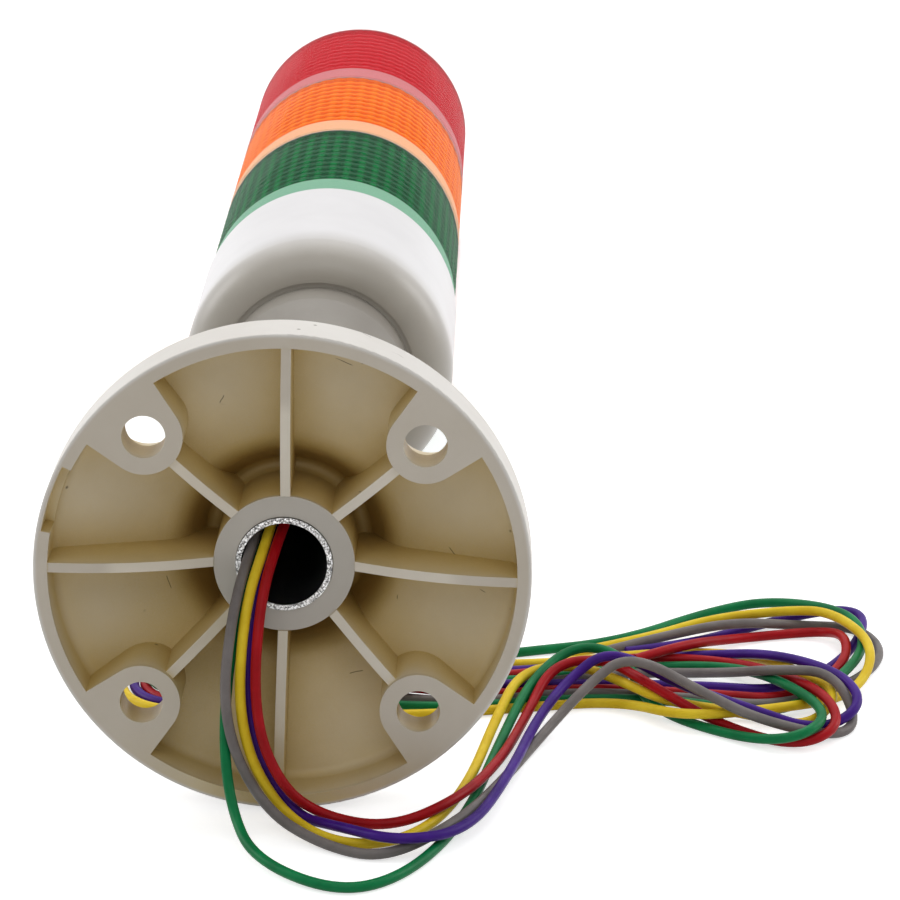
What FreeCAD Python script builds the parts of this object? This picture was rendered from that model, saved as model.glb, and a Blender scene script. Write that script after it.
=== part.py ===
import FreeCAD, Part
import Sketcher
import math
import os

# Three-tier stack light on a pole, lying on its side: the rim of the flange and the edge of the head touch
# the ground. Every rigid piece is modelled about the tower's own axis, with z = 0 at the mounting face of the
# flange, and is then laid down by one placement. The wires are modelled where they lie.
# Lengths are millimetres, angles are degrees.

SIZES = {
    # base flange
    "flange_radius": 55.3,
    "rim_height": 13.3,
    "rim_wall": 3.2,
    "rim_round": 1.6,
    "face_round": 0.5,
    "crown_wall": 2.1,
    "neck_foot_radius": 20.5,
    "neck_foot_height": 26.0,
    "neck_top_radius": 19.3,
    "neck_height": 52.0,
    "neck_round": 1.2,
    "flare_round": 14.0,
    "cavity_shoulder_radius": 24.0,
    "cavity_shoulder_height": 20.5,
    "cavity_shoulder_round": 10.0,
    "cavity_height": 34.5,
    "cavity_root_round": 1.8,
    "cavity_rim_round": 2.5,
    "hub_radius": 15.8,
    "hub_recess": 8.4,
    "rib_thickness": 2.2,
    "rib_count": 8,
    "rib_hub_recess": 8.0,
    "rib_rim_recess": 0.3,
    "rib_knee_radius": 35.0,
    "rib_knee_round": 80.0,
    "bolt_circle_radius": 43.8,
    "bolt_hole_radius": 4.85,
    "bolt_count": 4,
    "boss_radius": 8.65,
    "boss_flare": 11.0,
    "bolt_seat_height": 9.4,
    "bolt_seat_radius": 7.2,
    "knockout_skin": 1.15,
    "knockout_height": 8.5,
    "knockout_start": 189.0,
    "knockout_span": 16.8,
    # pole
    "pole_radius": 10.85,
    "pole_wall": 1.2,
    "pole_end_recess": 7.8,
    "pole_length": 165.7,
    "pole_clearance": 0.12,
    # set screws that clamp the pole
    "set_screw_radius": 2.0,
    "set_screw_height": 43.0,
    "set_screw_sink": 1.0,
    "screw_key_flats": 2.0,
    "screw_key_depth": 1.8,
    "screw_clearance": 0.05,
    "flange_screw_count": 3,
    "socket_screw_count": 2,
    "socket_screw_drop": 22.5,
    # pole socket
    "socket_length": 38.5,
    "socket_neck_radius": 15.5,
    "socket_collar_radius": 24.0,
    "socket_collar_length": 10.5,
    "socket_collar_round": 6.0,
    "socket_neck_round": 1.5,
    "spigot_radius": 14.0,
    "spigot_height": 12.0,
    "spigot_clearance": 0.1,
    "pole_proud": 1.0,
    # body housing
    "body_height": 65.9,
    "head_radius": 35.0,
    "shell_wall": 2.8,
    "body_foot_round": 9.0,
    "body_floor": 2.8,
    "body_inner_round": 6.0,
    "shadow_groove_width": 1.4,
    "shadow_groove_depth": 1.0,
    "ledge_height": 37.5,
    "ledge_depth": 2.0,
    # nut and grommet on the end of the pole
    "pole_nut_flats": 32.0,
    "pole_nut_thickness": 6.0,
    "grommet_bore": 6.5,
    "grommet_plug": 6.0,
    "grommet_collar": 2.0,
    "grommet_collar_radius": 12.0,
    # driver board and what it carries
    "board_thickness": 1.6,
    "board_clearance": 0.2,
    "board_hole_radius": 7.0,
    "sounder_radius": 8.0,
    "sounder_height": 9.5,
    "sounder_port_radius": 1.2,
    "sounder_port_depth": 3.0,
    "sounder_offset": 16.0,
    "terminal_width": 20.0,
    "terminal_depth": 8.0,
    "terminal_height": 9.0,
    "terminal_offset": 14.5,
    "terminal_count": 5,
    "terminal_slot_width": 2.8,
    "terminal_slot_depth": 5.0,
    "chip_width": 11.0,
    "chip_depth": 8.0,
    "chip_height": 2.4,
    "chip_dimple_radius": 0.6,
    "chip_dimple_depth": 0.3,
    "chip_dimple_inset": 1.5,
    # tiers
    "tier_pitch": 76.5,
    "cap_thickness": 4.0,
    "cap_round": 3.0,
    "prism_depth": 1.2,
    "prism_count": 10,
    "tier_ring_above": 14.0,
    "tier_ring_below": 6.0,
    "tier_ring_wall": 2.0,
    "tier_ring_clearance": 0.15,
    "tier_web_thickness": 2.4,
    "tier_web_hole": 8.0,
    "seal_thickness": 0.6,
    "seal_inset": 0.6,
    "seal_clearance": 0.1,
    # LED carriers
    "carrier_side": 22.0,
    "carrier_bore": 8.0,
    "carrier_height": 56.0,
    "led_board_width": 20.0,
    "led_board_height": 50.0,
    "led_board_thickness": 1.2,
    "led_side": 5.0,
    "led_thickness": 1.6,
    "led_count": 4,
    # tie rods
    "tie_rod_radius": 2.0,
    "tie_rod_circle": 25.5,
    "tie_rod_count": 3,
    "tie_rod_clearance": 0.2,
    "tie_boss_radius": 4.2,
    "tie_boss_length": 14.0,
    "tie_rod_bite": 10.0,
    "tie_bore_spare": 1.5,
    "tie_nut_flats": 7.0,
    "tie_nut_thickness": 3.2,
    # wires
    "wire_diameter": 2.4,
    # how the light lies
    "lay_roll": 1.6,
}

doc = FreeCAD.newDocument("stack_light")
sheet = doc.addObject("Spreadsheet::Sheet", "Sizes")


def fill_sheet():
    """Writes each driving size into a cell of its own, beside its name."""
    for row, (name, value) in enumerate(SIZES.items(), start=1):
        sheet.set(f"A{row}", name)
        sheet.set(f"B{row}", str(value))
        sheet.setAlias(f"B{row}", name)
    doc.recompute()


class Size:
    """A number together with the spreadsheet formula that gives it."""

    def __init__(self, value, formula):
        self.value = value
        self.formula = formula

    def __add__(self, other):
        other = as_size(other)
        return Size(self.value + other.value, f"({self.formula} + {other.formula})")

    def __sub__(self, other):
        other = as_size(other)
        return Size(self.value - other.value, f"({self.formula} - {other.formula})")

    def __mul__(self, other):
        other = as_size(other)
        return Size(self.value * other.value, f"({self.formula} * {other.formula})")

    def __truediv__(self, other):
        other = as_size(other)
        return Size(self.value / other.value, f"({self.formula} / {other.formula})")

    def __neg__(self):
        return Size(-self.value, f"(0 - {self.formula})")

    def __radd__(self, other):
        return as_size(other) + self

    def __rsub__(self, other):
        return as_size(other) - self

    def __rmul__(self, other):
        return as_size(other) * self

    def sin(self):
        return Size(math.sin(math.radians(self.value)), f"sin({self.formula} * 1deg)")

    def cos(self):
        return Size(math.cos(math.radians(self.value)), f"cos({self.formula} * 1deg)")


def as_size(number):
    """Turns a plain number into a Size, and leaves a Size as it is."""
    if isinstance(number, Size):
        return number
    return Size(float(number), repr(float(number)))


class NamedSizes:
    """The driving sizes by name, each bound to its own cell."""

    def __init__(self, table):
        for name, value in table.items():
            setattr(self, name, Size(float(value), f"Sizes.{name}"))


s = NamedSizes(SIZES)
fill_sheet()


# Derived sizes that several pieces share
cavity_radius = s.flange_radius - s.rim_wall
bore_radius = s.pole_radius + s.pole_clearance
pole_bore = s.pole_radius - s.pole_wall
pole_top = s.pole_end_recess + s.pole_length
spigot_top = pole_top - s.pole_proud
body_foot = spigot_top - s.spigot_height
body_top = body_foot + s.body_height
shell_bore = s.head_radius - s.shell_wall
prism_bore = shell_bore - s.prism_depth
ring_radius = shell_bore - s.tier_ring_clearance
board_seat = body_foot + s.ledge_height
board_top = board_seat + s.board_thickness
head_top = body_top + s.tier_pitch * 3 + s.cap_thickness
tap_radius = s.set_screw_radius + s.screw_clearance
rod_hole = s.tie_rod_radius + s.tie_rod_clearance
half_seal = s.seal_thickness / 2
ACROSS_CORNERS = 2 / math.sqrt(3)
CUT_MARGIN = 2.0
FIRST_BOLT = 45.0
FIRST_ROD = 30.0
FIRST_FLANGE_SCREW = 90.0
FIRST_SOCKET_SCREW = 0.0
PRISM_RISE = 0.9
CARRIER_FACES = 4
BEND_SHARE = 0.45
TIERS = ("green", "amber", "red")


def bind(thing, prop, size):
    """Sets a property from a Size and ties it to the sheet."""
    size = as_size(size)
    setattr(thing, prop, size.value)
    if "Sizes." in size.formula:
        thing.setExpression(prop, size.formula)


def place(thing, x=0, y=0, z=0, rotation=None):
    """Puts a solid at x, y, z, each tied to the sheet."""
    spot = [as_size(x), as_size(y), as_size(z)]
    vector = FreeCAD.Vector(*[size.value for size in spot])
    thing.Placement = FreeCAD.Placement(vector, rotation or FreeCAD.Rotation())
    for axis, size in zip("xyz", spot):
        if "Sizes." in size.formula:
            thing.setExpression(f"Placement.Base.{axis}", size.formula)


def constrain(sketch, name, kind, where, size):
    """Adds a dimension to a sketch and ties it to the sheet."""
    size = as_size(size)
    index = sketch.addConstraint(Sketcher.Constraint(kind, *where, size.value))
    sketch.renameConstraint(index, name)
    if "Sizes." in size.formula:
        sketch.setExpression(f"Constraints.{name}", size.formula)


def pin_point(sketch, name, geometry, place_on, x, y):
    """Fixes a point of a sketch at x, y from its origin."""
    constrain(sketch, f"{name}_x", "DistanceX", (-1, 1, geometry, place_on), x)
    constrain(sketch, f"{name}_y", "DistanceY", (-1, 1, geometry, place_on), y)


class Corner:
    """A corner of a profile, sharp or with a rounding."""

    def __init__(self, x, y, rounding=0):
        self.x = as_size(x)
        self.y = as_size(y)
        self.rounding = as_size(rounding)
        self.point = FreeCAD.Vector(self.x.value, self.y.value, 0)
        self.enter = self.point
        self.leave = self.point
        self.arc = None
        self.turns_left = True

    def shape(self, before, after):
        """Works out where the rounding starts and ends between two neighbours."""
        radius = self.rounding.value
        if radius == 0:
            return
        back = (before.point - self.point).normalize()
        ahead = (after.point - self.point).normalize()
        half = back.getAngle(ahead) / 2
        self.enter = self.point + back * (radius / math.tan(half))
        self.leave = self.point + ahead * (radius / math.tan(half))
        centre = self.point + (back + ahead).normalize() * (radius / math.sin(half))
        self.turns_left = back.cross(ahead).z < 0
        first, last = (self.enter, self.leave) if self.turns_left else (self.leave, self.enter)
        start = math.atan2(first.y - centre.y, first.x - centre.x)
        end = math.atan2(last.y - centre.y, last.x - centre.x)
        circle = Part.Circle(centre, FreeCAD.Vector(0, 0, 1), radius)
        self.arc = Part.ArcOfCircle(circle, start, end)


def draw_profile(sketch, corners):
    """Draws a closed outline through corners, each pinned to the sheet."""
    count = len(corners)
    for i, corner in enumerate(corners):
        corner.shape(corners[i - 1], corners[(i + 1) % count])
    lines = []
    for i, corner in enumerate(corners):
        following = corners[(i + 1) % count]
        lines.append(sketch.addGeometry(Part.LineSegment(corner.leave, following.enter), False))
    for i, corner in enumerate(corners):
        incoming = lines[i - 1]
        outgoing = lines[i]
        if corner.arc is None:
            sketch.addConstraint(Sketcher.Constraint("Coincident", incoming, 2, outgoing, 1))
            pin_point(sketch, f"corner{i}", outgoing, 1, corner.x, corner.y)
            continue
        arc = sketch.addGeometry(corner.arc, False)
        point = sketch.addGeometry(Part.Point(corner.point), True)
        first, last = (1, 2) if corner.turns_left else (2, 1)
        sketch.addConstraint(Sketcher.Constraint("Tangent", incoming, 2, arc, first))
        sketch.addConstraint(Sketcher.Constraint("Tangent", arc, last, outgoing, 1))
        sketch.addConstraint(Sketcher.Constraint("PointOnObject", point, 1, incoming))
        sketch.addConstraint(Sketcher.Constraint("PointOnObject", point, 1, outgoing))
        constrain(sketch, f"round{i}", "Radius", (arc,), corner.rounding)
        pin_point(sketch, f"corner{i}", point, 1, corner.x, corner.y)


def draw_circle(sketch, name, x, y, radius):
    """Draws a circle that is pinned to the sheet."""
    centre = FreeCAD.Vector(as_size(x).value, as_size(y).value, 0)
    normal = FreeCAD.Vector(0, 0, 1)
    circle = sketch.addGeometry(Part.Circle(centre, normal, as_size(radius).value), False)
    pin_point(sketch, name, circle, 3, x, y)
    constrain(sketch, f"{name}_radius", "Radius", (circle,), radius)


# Pieces of the PartDesign workbench

def origin_plane(body, role):
    """One of a body's own origin planes."""
    return next(feature for feature in body.Origin.OriginFeatures if feature.Role == role)


def body_sketch(body, name, role, offset=0):
    """A sketch on one of the body's origin planes, lifted along its normal."""
    sketch = body.newObject("Sketcher::SketchObject", name)
    sketch.AttachmentSupport = [(origin_plane(body, role), "")]
    sketch.MapMode = "FlatFace"
    offset = as_size(offset)
    sketch.AttachmentOffset = FreeCAD.Placement(FreeCAD.Vector(0, 0, offset.value), FreeCAD.Rotation())
    if "Sizes." in offset.formula:
        sketch.setExpression("AttachmentOffset.Base.z", offset.formula)
    return sketch


def turned_body(name, corners):
    """A body turned about the tower's axis from a profile of radius and height."""
    body = doc.addObject("PartDesign::Body", name)
    sketch = body_sketch(body, f"{name}_profile", "XZ_Plane")
    draw_profile(sketch, corners)
    turn = body.newObject("PartDesign::Revolution", f"{name}_turn")
    turn.Profile = sketch
    turn.ReferenceAxis = (sketch, ["V_Axis"])
    turn.Angle = 360
    body.Tip = turn
    doc.recompute()
    return body


def pad(body, name, sketch, length):
    """Pads a sketch upwards by a length."""
    feature = body.newObject("PartDesign::Pad", name)
    feature.Profile = sketch
    bind(feature, "Length", length)
    body.Tip = feature
    return feature


def pocket(body, name, sketch, length):
    """Cuts a sketch upwards by a length, and checks that it cut something."""
    before = body.Shape.Volume
    feature = body.newObject("PartDesign::Pocket", name)
    feature.Profile = sketch
    feature.Reversed = True
    bind(feature, "Length", length)
    body.Tip = feature
    doc.recompute()
    if body.Shape.Volume >= before - 0.01:
        raise ValueError(f"{name} cuts nothing")
    return feature


def pattern(body, name, feature, count):
    """Repeats a feature round the tower's axis."""
    copies = body.newObject("PartDesign::PolarPattern", name)
    copies.Originals = [feature]
    copies.Axis = (feature.Profile[0], ["N_Axis"])
    copies.Angle = 360
    copies.Occurrences = int(count.value)
    copies.setExpression("Occurrences", count.formula)
    body.Tip = copies
    doc.recompute()
    return copies


def rod_spot():
    """Where the first tie rod stands in plan."""
    circle = s.tie_rod_circle
    angle = math.radians(FIRST_ROD)
    return circle * math.cos(angle), circle * math.sin(angle)


def rod_holes(body, name, bottom, height, radius):
    """Cuts a hole for each tie rod."""
    sketch = body_sketch(body, f"{name}_circle", "XY_Plane", bottom)
    draw_circle(sketch, "hole", *rod_spot(), radius)
    hole = pocket(body, f"{name}_hole", sketch, height)
    pattern(body, f"{name}_holes", hole, s.tie_rod_count)


def rod_bosses(body, name, bottom, height):
    """Adds a boss for each tie rod."""
    sketch = body_sketch(body, f"{name}_circle", "XY_Plane", bottom)
    draw_circle(sketch, "boss", *rod_spot(), s.tie_boss_radius)
    boss = pad(body, f"{name}_boss", sketch, height)
    doc.recompute()
    pattern(body, f"{name}_bosses", boss, s.tie_rod_count)


# Building blocks of the Part workbench

UPRIGHT = FreeCAD.Rotation(FreeCAD.Vector(1, 0, 0), 90)
AXIS = FreeCAD.Vector(0, 0, 1)


def turned(name, corners, start=0.0, span=None):
    """A ring or disc turned about the tower's axis from a profile of radius and height."""
    sketch = doc.addObject("Sketcher::SketchObject", f"{name}_profile")
    sketch.Placement = FreeCAD.Placement(FreeCAD.Vector(), UPRIGHT)
    draw_profile(sketch, corners)
    solid = doc.addObject("Part::Revolution", name)
    solid.Source = sketch
    solid.Axis = AXIS
    solid.Base = FreeCAD.Vector()
    solid.Solid = True
    bind(solid, "Angle", span or 360)
    solid.Placement = FreeCAD.Placement(FreeCAD.Vector(), FreeCAD.Rotation(AXIS, start))
    return solid


def prism(name, corners, bottom, height, angle=0):
    """A prism over a profile in plan, turned about the tower's axis."""
    sketch = doc.addObject("Sketcher::SketchObject", f"{name}_outline")
    draw_profile(sketch, corners)
    solid = doc.addObject("Part::Extrusion", name)
    solid.Base = sketch
    solid.DirMode = "Custom"
    solid.Dir = AXIS
    bind(solid, "LengthFwd", height)
    solid.Solid = True
    place(solid, z=bottom, rotation=FreeCAD.Rotation(AXIS, angle))
    return solid


def cylinder(name, x, y, bottom, radius, height):
    """A cylinder along the tower's axis at x, y."""
    solid = doc.addObject("Part::Cylinder", name)
    bind(solid, "Radius", radius)
    bind(solid, "Height", height)
    place(solid, x, y, bottom)
    return solid


def radial(angle):
    """Turns a piece that stands on z = 0 so that it points outwards at an angle."""
    return FreeCAD.Rotation(AXIS, angle) * FreeCAD.Rotation(FreeCAD.Vector(0, 1, 0), 90)


def radial_place(solid, angle, height, near):
    """Puts a piece at a distance from the axis, pointing outwards."""
    turn = math.radians(angle)
    place(solid, near * math.cos(turn), near * math.sin(turn), height, radial(angle))


def radial_cylinder(name, angle, height, near, radius, length):
    """A cylinder that points away from the tower's axis at an angle and a height."""
    solid = doc.addObject("Part::Cylinder", name)
    bind(solid, "Radius", radius)
    bind(solid, "Height", length)
    radial_place(solid, angle, height, near)
    return solid


def block(name, x, y, bottom, width, depth, height):
    """A box with its middle at x, y."""
    solid = doc.addObject("Part::Box", name)
    bind(solid, "Length", width)
    bind(solid, "Width", depth)
    bind(solid, "Height", height)
    place(solid, x - width / 2, y - depth / 2, bottom)
    return solid


def hexagon(name, x, y, bottom, flats, height):
    """A hexagonal prism with its middle at x, y."""
    solid = doc.addObject("Part::Prism", name)
    solid.Polygon = 6
    bind(solid, "Circumradius", flats * (ACROSS_CORNERS / 2))
    bind(solid, "Height", height)
    place(solid, x, y, bottom)
    return solid


def fuse(name, solids):
    """Joins several solids into one."""
    joined = doc.addObject("Part::MultiFuse", name)
    joined.Shapes = solids
    return joined


def cut(name, base, tools):
    """Takes one or more solids away from a base."""
    tool = tools[0] if len(tools) == 1 else fuse(f"{name}_tool", tools)
    result = doc.addObject("Part::Cut", name)
    result.Base = base
    result.Tool = tool
    return result


def group(name, solids):
    """Keeps several separate solids together as one node."""
    result = doc.addObject("Part::Compound", name)
    result.Links = solids
    return result


def ring_places(count, radius, first=0.0):
    """Places evenly round the axis, as x and y sizes."""
    places = []
    for k in range(int(count.value)):
        angle = math.radians(first + 360.0 * k / count.value)
        places.append((radius * math.cos(angle), radius * math.sin(angle)))
    return places


def ring_angles(count, first=0.0):
    """Angles evenly round the axis."""
    return [first + 360.0 * k / count.value for k in range(int(count.value))]


def radius_between(low, high, height):
    """The radius of a straight taper at a height, from its two end points of radius and height."""
    share = (as_size(height) - low[1]) / (as_size(high[1]) - low[1])
    return low[0] + (high[0] - low[0]) * share


# Base flange

def flange_ribs():
    """Radial ribs, tall enough to pass through the whole cavity."""
    ribs = []
    half = s.rib_thickness / 2
    outer = s.flange_radius - s.rim_wall / 2
    for k, angle in enumerate(ring_angles(s.rib_count)):
        corners = [
            Corner(s.pole_radius, -half),
            Corner(outer, -half),
            Corner(outer, half),
            Corner(s.pole_radius, half),
        ]
        ribs.append(prism(f"rib{k}", corners, -CUT_MARGIN, s.neck_height, angle))
    return ribs


def flange_bosses(label):
    """Round bolt bosses that flare outwards into the rim."""
    bosses = []
    reach = s.flange_radius - s.rim_wall / 2
    near = s.bolt_circle_radius - s.boss_radius * s.boss_flare.sin()
    half_near = s.boss_radius * s.boss_flare.cos()
    half_far = half_near + (reach - near) * (s.boss_flare.sin() / s.boss_flare.cos())
    spots = ring_places(s.bolt_count, s.bolt_circle_radius, FIRST_BOLT)
    for k, angle in enumerate(ring_angles(s.bolt_count, FIRST_BOLT)):
        corners = [
            Corner(near, -half_near),
            Corner(reach, -half_far),
            Corner(reach, half_far),
            Corner(near, half_near),
        ]
        flare = prism(f"{label}_flare{k}", corners, -CUT_MARGIN, s.neck_height, angle)
        round_part = cylinder(f"{label}_round{k}", *spots[k], -CUT_MARGIN, s.boss_radius, s.neck_height)
        bosses.append(fuse(f"{label}{k}", [flare, round_part]))
    return bosses


def flange_pockets():
    """The hollows between the ribs, with soft corners where the ceiling meets their sides."""
    cavity = turned("flange_cavity", [
        Corner(s.hub_radius, -CUT_MARGIN),
        Corner(cavity_radius, -CUT_MARGIN),
        Corner(cavity_radius, s.rim_height - s.crown_wall, s.cavity_rim_round),
        Corner(s.cavity_shoulder_radius, s.cavity_shoulder_height, s.cavity_shoulder_round),
        Corner(s.hub_radius, s.cavity_height, s.cavity_root_round),
    ])
    return cut("flange_pockets", cavity, flange_ribs() + flange_bosses("boss"))


def flange_knockout():
    """The thinned stretch of the rim that is broken out for a side cable."""
    depth = s.rim_wall - s.knockout_skin
    return turned("knockout_ring", [
        Corner(cavity_radius - CUT_MARGIN, -CUT_MARGIN),
        Corner(cavity_radius + depth, -CUT_MARGIN),
        Corner(cavity_radius + depth, s.knockout_height),
        Corner(cavity_radius - CUT_MARGIN, s.knockout_height),
    ], s.knockout_start.value, s.knockout_span)


def make_base_flange():
    bell = turned("flange_bell", [
        Corner(0, 0),
        Corner(s.flange_radius, 0, s.face_round),
        Corner(s.flange_radius, s.rim_height, s.rim_round),
        Corner(s.neck_foot_radius, s.neck_foot_height, s.flare_round),
        Corner(s.neck_top_radius, s.neck_height, s.neck_round),
        Corner(0, s.neck_height),
    ])
    relief = turned("flange_relief", [
        Corner(0, -CUT_MARGIN),
        Corner(cavity_radius, -CUT_MARGIN),
        Corner(cavity_radius, s.rib_rim_recess),
        Corner(s.rib_knee_radius, s.rib_rim_recess, s.rib_knee_round),
        Corner(s.hub_radius, s.rib_hub_recess),
        Corner(s.hub_radius, s.hub_recess),
        Corner(0, s.hub_recess),
    ])
    tools = [cut("flange_relief_clear", relief, flange_bosses("keep")), flange_knockout()]
    tools.append(cylinder("flange_bore", 0, 0, -CUT_MARGIN, bore_radius, s.neck_height + 2 * CUT_MARGIN))
    for k, (x, y) in enumerate(ring_places(s.bolt_count, s.bolt_circle_radius, FIRST_BOLT)):
        tools.append(cylinder(f"bolt_hole{k}", x, y, -CUT_MARGIN, s.bolt_hole_radius, s.neck_height))
        tools.append(cylinder(f"bolt_seat{k}", x, y, s.bolt_seat_height, s.bolt_seat_radius, s.neck_height))
    for k, angle in enumerate(ring_angles(s.flange_screw_count, FIRST_FLANGE_SCREW)):
        height = s.set_screw_height
        tools.append(radial_cylinder(f"flange_tap{k}", angle, height, 0, tap_radius, s.flange_radius))
    hollow = cut("flange_hollow", bell, [flange_pockets()])
    return cut("base_flange", hollow, tools)


# Pole and what holds it

def make_pole():
    body = doc.addObject("PartDesign::Body", "pole")
    sketch = body_sketch(body, "pole_section", "XY_Plane", s.pole_end_recess)
    draw_circle(sketch, "outside", 0, 0, s.pole_radius)
    draw_circle(sketch, "inside", 0, 0, pole_bore)
    pad(body, "pole_pad", sketch, s.pole_length)
    return body


def make_set_screws(name, angles, height, outer_radius):
    """Headless screws that press on the pole, each with a key socket in its outer end."""
    screws = []
    length = outer_radius - s.set_screw_sink - s.pole_radius
    for k, angle in enumerate(angles):
        shank = radial_cylinder(f"{name}_shank{k}", angle, height, s.pole_radius, s.set_screw_radius, length)
        key = doc.addObject("Part::Prism", f"{name}_key{k}")
        key.Polygon = 6
        bind(key, "Circumradius", s.screw_key_flats * (ACROSS_CORNERS / 2))
        bind(key, "Height", s.screw_key_depth + CUT_MARGIN)
        radial_place(key, angle, height, s.pole_radius + length - s.screw_key_depth)
        screws.append(cut(f"{name}_screw{k}", shank, [key]))
    return group(name, screws)


def make_flange_set_screws():
    neck_foot = (s.neck_foot_radius, s.neck_foot_height)
    neck_top = (s.neck_top_radius, s.neck_height)
    neck_radius = radius_between(neck_foot, neck_top, s.set_screw_height)
    angles = ring_angles(s.flange_screw_count, FIRST_FLANGE_SCREW)
    return make_set_screws("flange_set_screws", angles, s.set_screw_height, neck_radius)


def make_pole_socket():
    foot = body_foot - s.socket_length
    step = body_foot - s.socket_collar_length
    turned_part = turned("socket_turned", [
        Corner(bore_radius, foot),
        Corner(s.socket_neck_radius, foot, s.socket_neck_round),
        Corner(s.socket_collar_radius, step, s.socket_collar_round),
        Corner(s.socket_collar_radius, body_foot),
        Corner(s.spigot_radius, body_foot),
        Corner(s.spigot_radius, spigot_top),
        Corner(bore_radius, spigot_top),
    ])
    taps = []
    height = body_foot - s.socket_screw_drop
    for k, angle in enumerate(ring_angles(s.socket_screw_count, FIRST_SOCKET_SCREW)):
        taps.append(radial_cylinder(f"socket_tap{k}", angle, height, 0, tap_radius, s.flange_radius))
    return cut("pole_socket", turned_part, taps)


def make_socket_lock_screws():
    foot = body_foot - s.socket_length
    step = body_foot - s.socket_collar_length
    height = body_foot - s.socket_screw_drop
    taper = radius_between((s.socket_neck_radius, foot), (s.socket_collar_radius, step), height)
    angles = ring_angles(s.socket_screw_count, FIRST_SOCKET_SCREW)
    return make_set_screws("socket_lock_screws", angles, height, taper)


def make_pole_nut():
    bottom = body_foot + s.body_floor
    blank = hexagon("pole_nut_blank", 0, 0, bottom, s.pole_nut_flats, s.pole_nut_thickness)
    bore = cylinder(
        "pole_nut_bore", 0, 0, bottom - CUT_MARGIN, s.spigot_radius + s.spigot_clearance,
        s.pole_nut_thickness + 2 * CUT_MARGIN)
    return cut("pole_nut", blank, [bore])


def make_pole_grommet():
    return turned_body("pole_grommet", [
        Corner(s.grommet_bore, pole_top - s.grommet_plug),
        Corner(pole_bore, pole_top - s.grommet_plug),
        Corner(pole_bore, pole_top),
        Corner(s.grommet_collar_radius, pole_top),
        Corner(s.grommet_collar_radius, pole_top + s.grommet_collar),
        Corner(s.grommet_bore, pole_top + s.grommet_collar),
    ])


# Body housing with the driver board

def make_body_housing():
    spigot_hole = s.spigot_radius + s.spigot_clearance
    groove_in = s.socket_collar_radius
    groove_out = s.socket_collar_radius + s.shadow_groove_width
    rim = body_top - half_seal
    ring_seat = body_top - s.tier_ring_below
    ledge_bore = prism_bore - s.ledge_depth
    floor_top = body_foot + s.body_floor
    body = turned_body("body_housing", [
        Corner(spigot_hole, body_foot),
        Corner(groove_in, body_foot),
        Corner(groove_in, body_foot + s.shadow_groove_depth),
        Corner(groove_out, body_foot + s.shadow_groove_depth),
        Corner(groove_out, body_foot),
        Corner(s.head_radius, body_foot, s.body_foot_round),
        Corner(s.head_radius, rim),
        Corner(shell_bore, rim),
        Corner(shell_bore, ring_seat),
        Corner(prism_bore, ring_seat),
        Corner(prism_bore, board_seat),
        Corner(ledge_bore, board_seat),
        Corner(ledge_bore, floor_top, s.body_inner_round),
        Corner(spigot_hole, floor_top),
    ])
    rod_bosses(body, "body_rod", floor_top, board_seat - floor_top)
    depth = s.tie_rod_bite + s.tie_bore_spare
    rod_holes(body, "body_rod_bore", board_seat - depth, depth + CUT_MARGIN, s.tie_rod_radius)
    return body


def make_driver_board():
    body = doc.addObject("PartDesign::Body", "driver_board")
    sketch = body_sketch(body, "driver_board_section", "XY_Plane", board_seat)
    draw_circle(sketch, "edge", 0, 0, prism_bore - s.board_clearance)
    draw_circle(sketch, "middle", 0, 0, s.board_hole_radius)
    pad(body, "driver_board_pad", sketch, s.board_thickness)
    doc.recompute()
    rod_holes(body, "driver_board_rod", board_seat - CUT_MARGIN, s.board_thickness + 2 * CUT_MARGIN, rod_hole)
    return body


def make_terminal_block():
    """The screw terminals, one for each wire."""
    top = board_top + s.terminal_height
    base = block(
        "terminal_blank", 0, s.terminal_offset, board_top,
        s.terminal_width, s.terminal_depth, s.terminal_height)
    slots = []
    pitch = s.terminal_width / s.terminal_count
    for k in range(int(s.terminal_count.value)):
        x = pitch * (k + 0.5) - s.terminal_width / 2
        slots.append(block(
            f"terminal_slot{k}", x, s.terminal_offset, top - s.terminal_slot_depth,
            s.terminal_slot_width, s.terminal_slot_width, s.terminal_slot_depth + CUT_MARGIN))
    return cut("terminal_block", base, slots)


def make_sounder():
    angle = math.radians(FIRST_ROD + 180.0)
    x = s.sounder_offset * math.cos(angle)
    y = s.sounder_offset * math.sin(angle)
    case = cylinder("sounder_case", x, y, board_top, s.sounder_radius, s.sounder_height)
    port_foot = board_top + s.sounder_height - s.sounder_port_depth
    port = cylinder("sounder_port", x, y, port_foot, s.sounder_port_radius, s.sounder_port_depth + CUT_MARGIN)
    return cut("sounder", case, [port])


def make_driver_chip():
    angle = math.radians(-FIRST_ROD)
    x = s.sounder_offset * math.cos(angle)
    y = s.sounder_offset * math.sin(angle)
    case = block("driver_chip_case", x, y, board_top, s.chip_width, s.chip_depth, s.chip_height)
    corner = s.chip_dimple_inset - s.chip_width / 2
    dimple_foot = board_top + s.chip_height - s.chip_dimple_depth
    dimple = cylinder(
        "driver_chip_dimple", x + corner, y, dimple_foot,
        s.chip_dimple_radius, s.chip_dimple_depth + CUT_MARGIN)
    return cut("driver_chip", case, [dimple])


# Tiers

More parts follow.
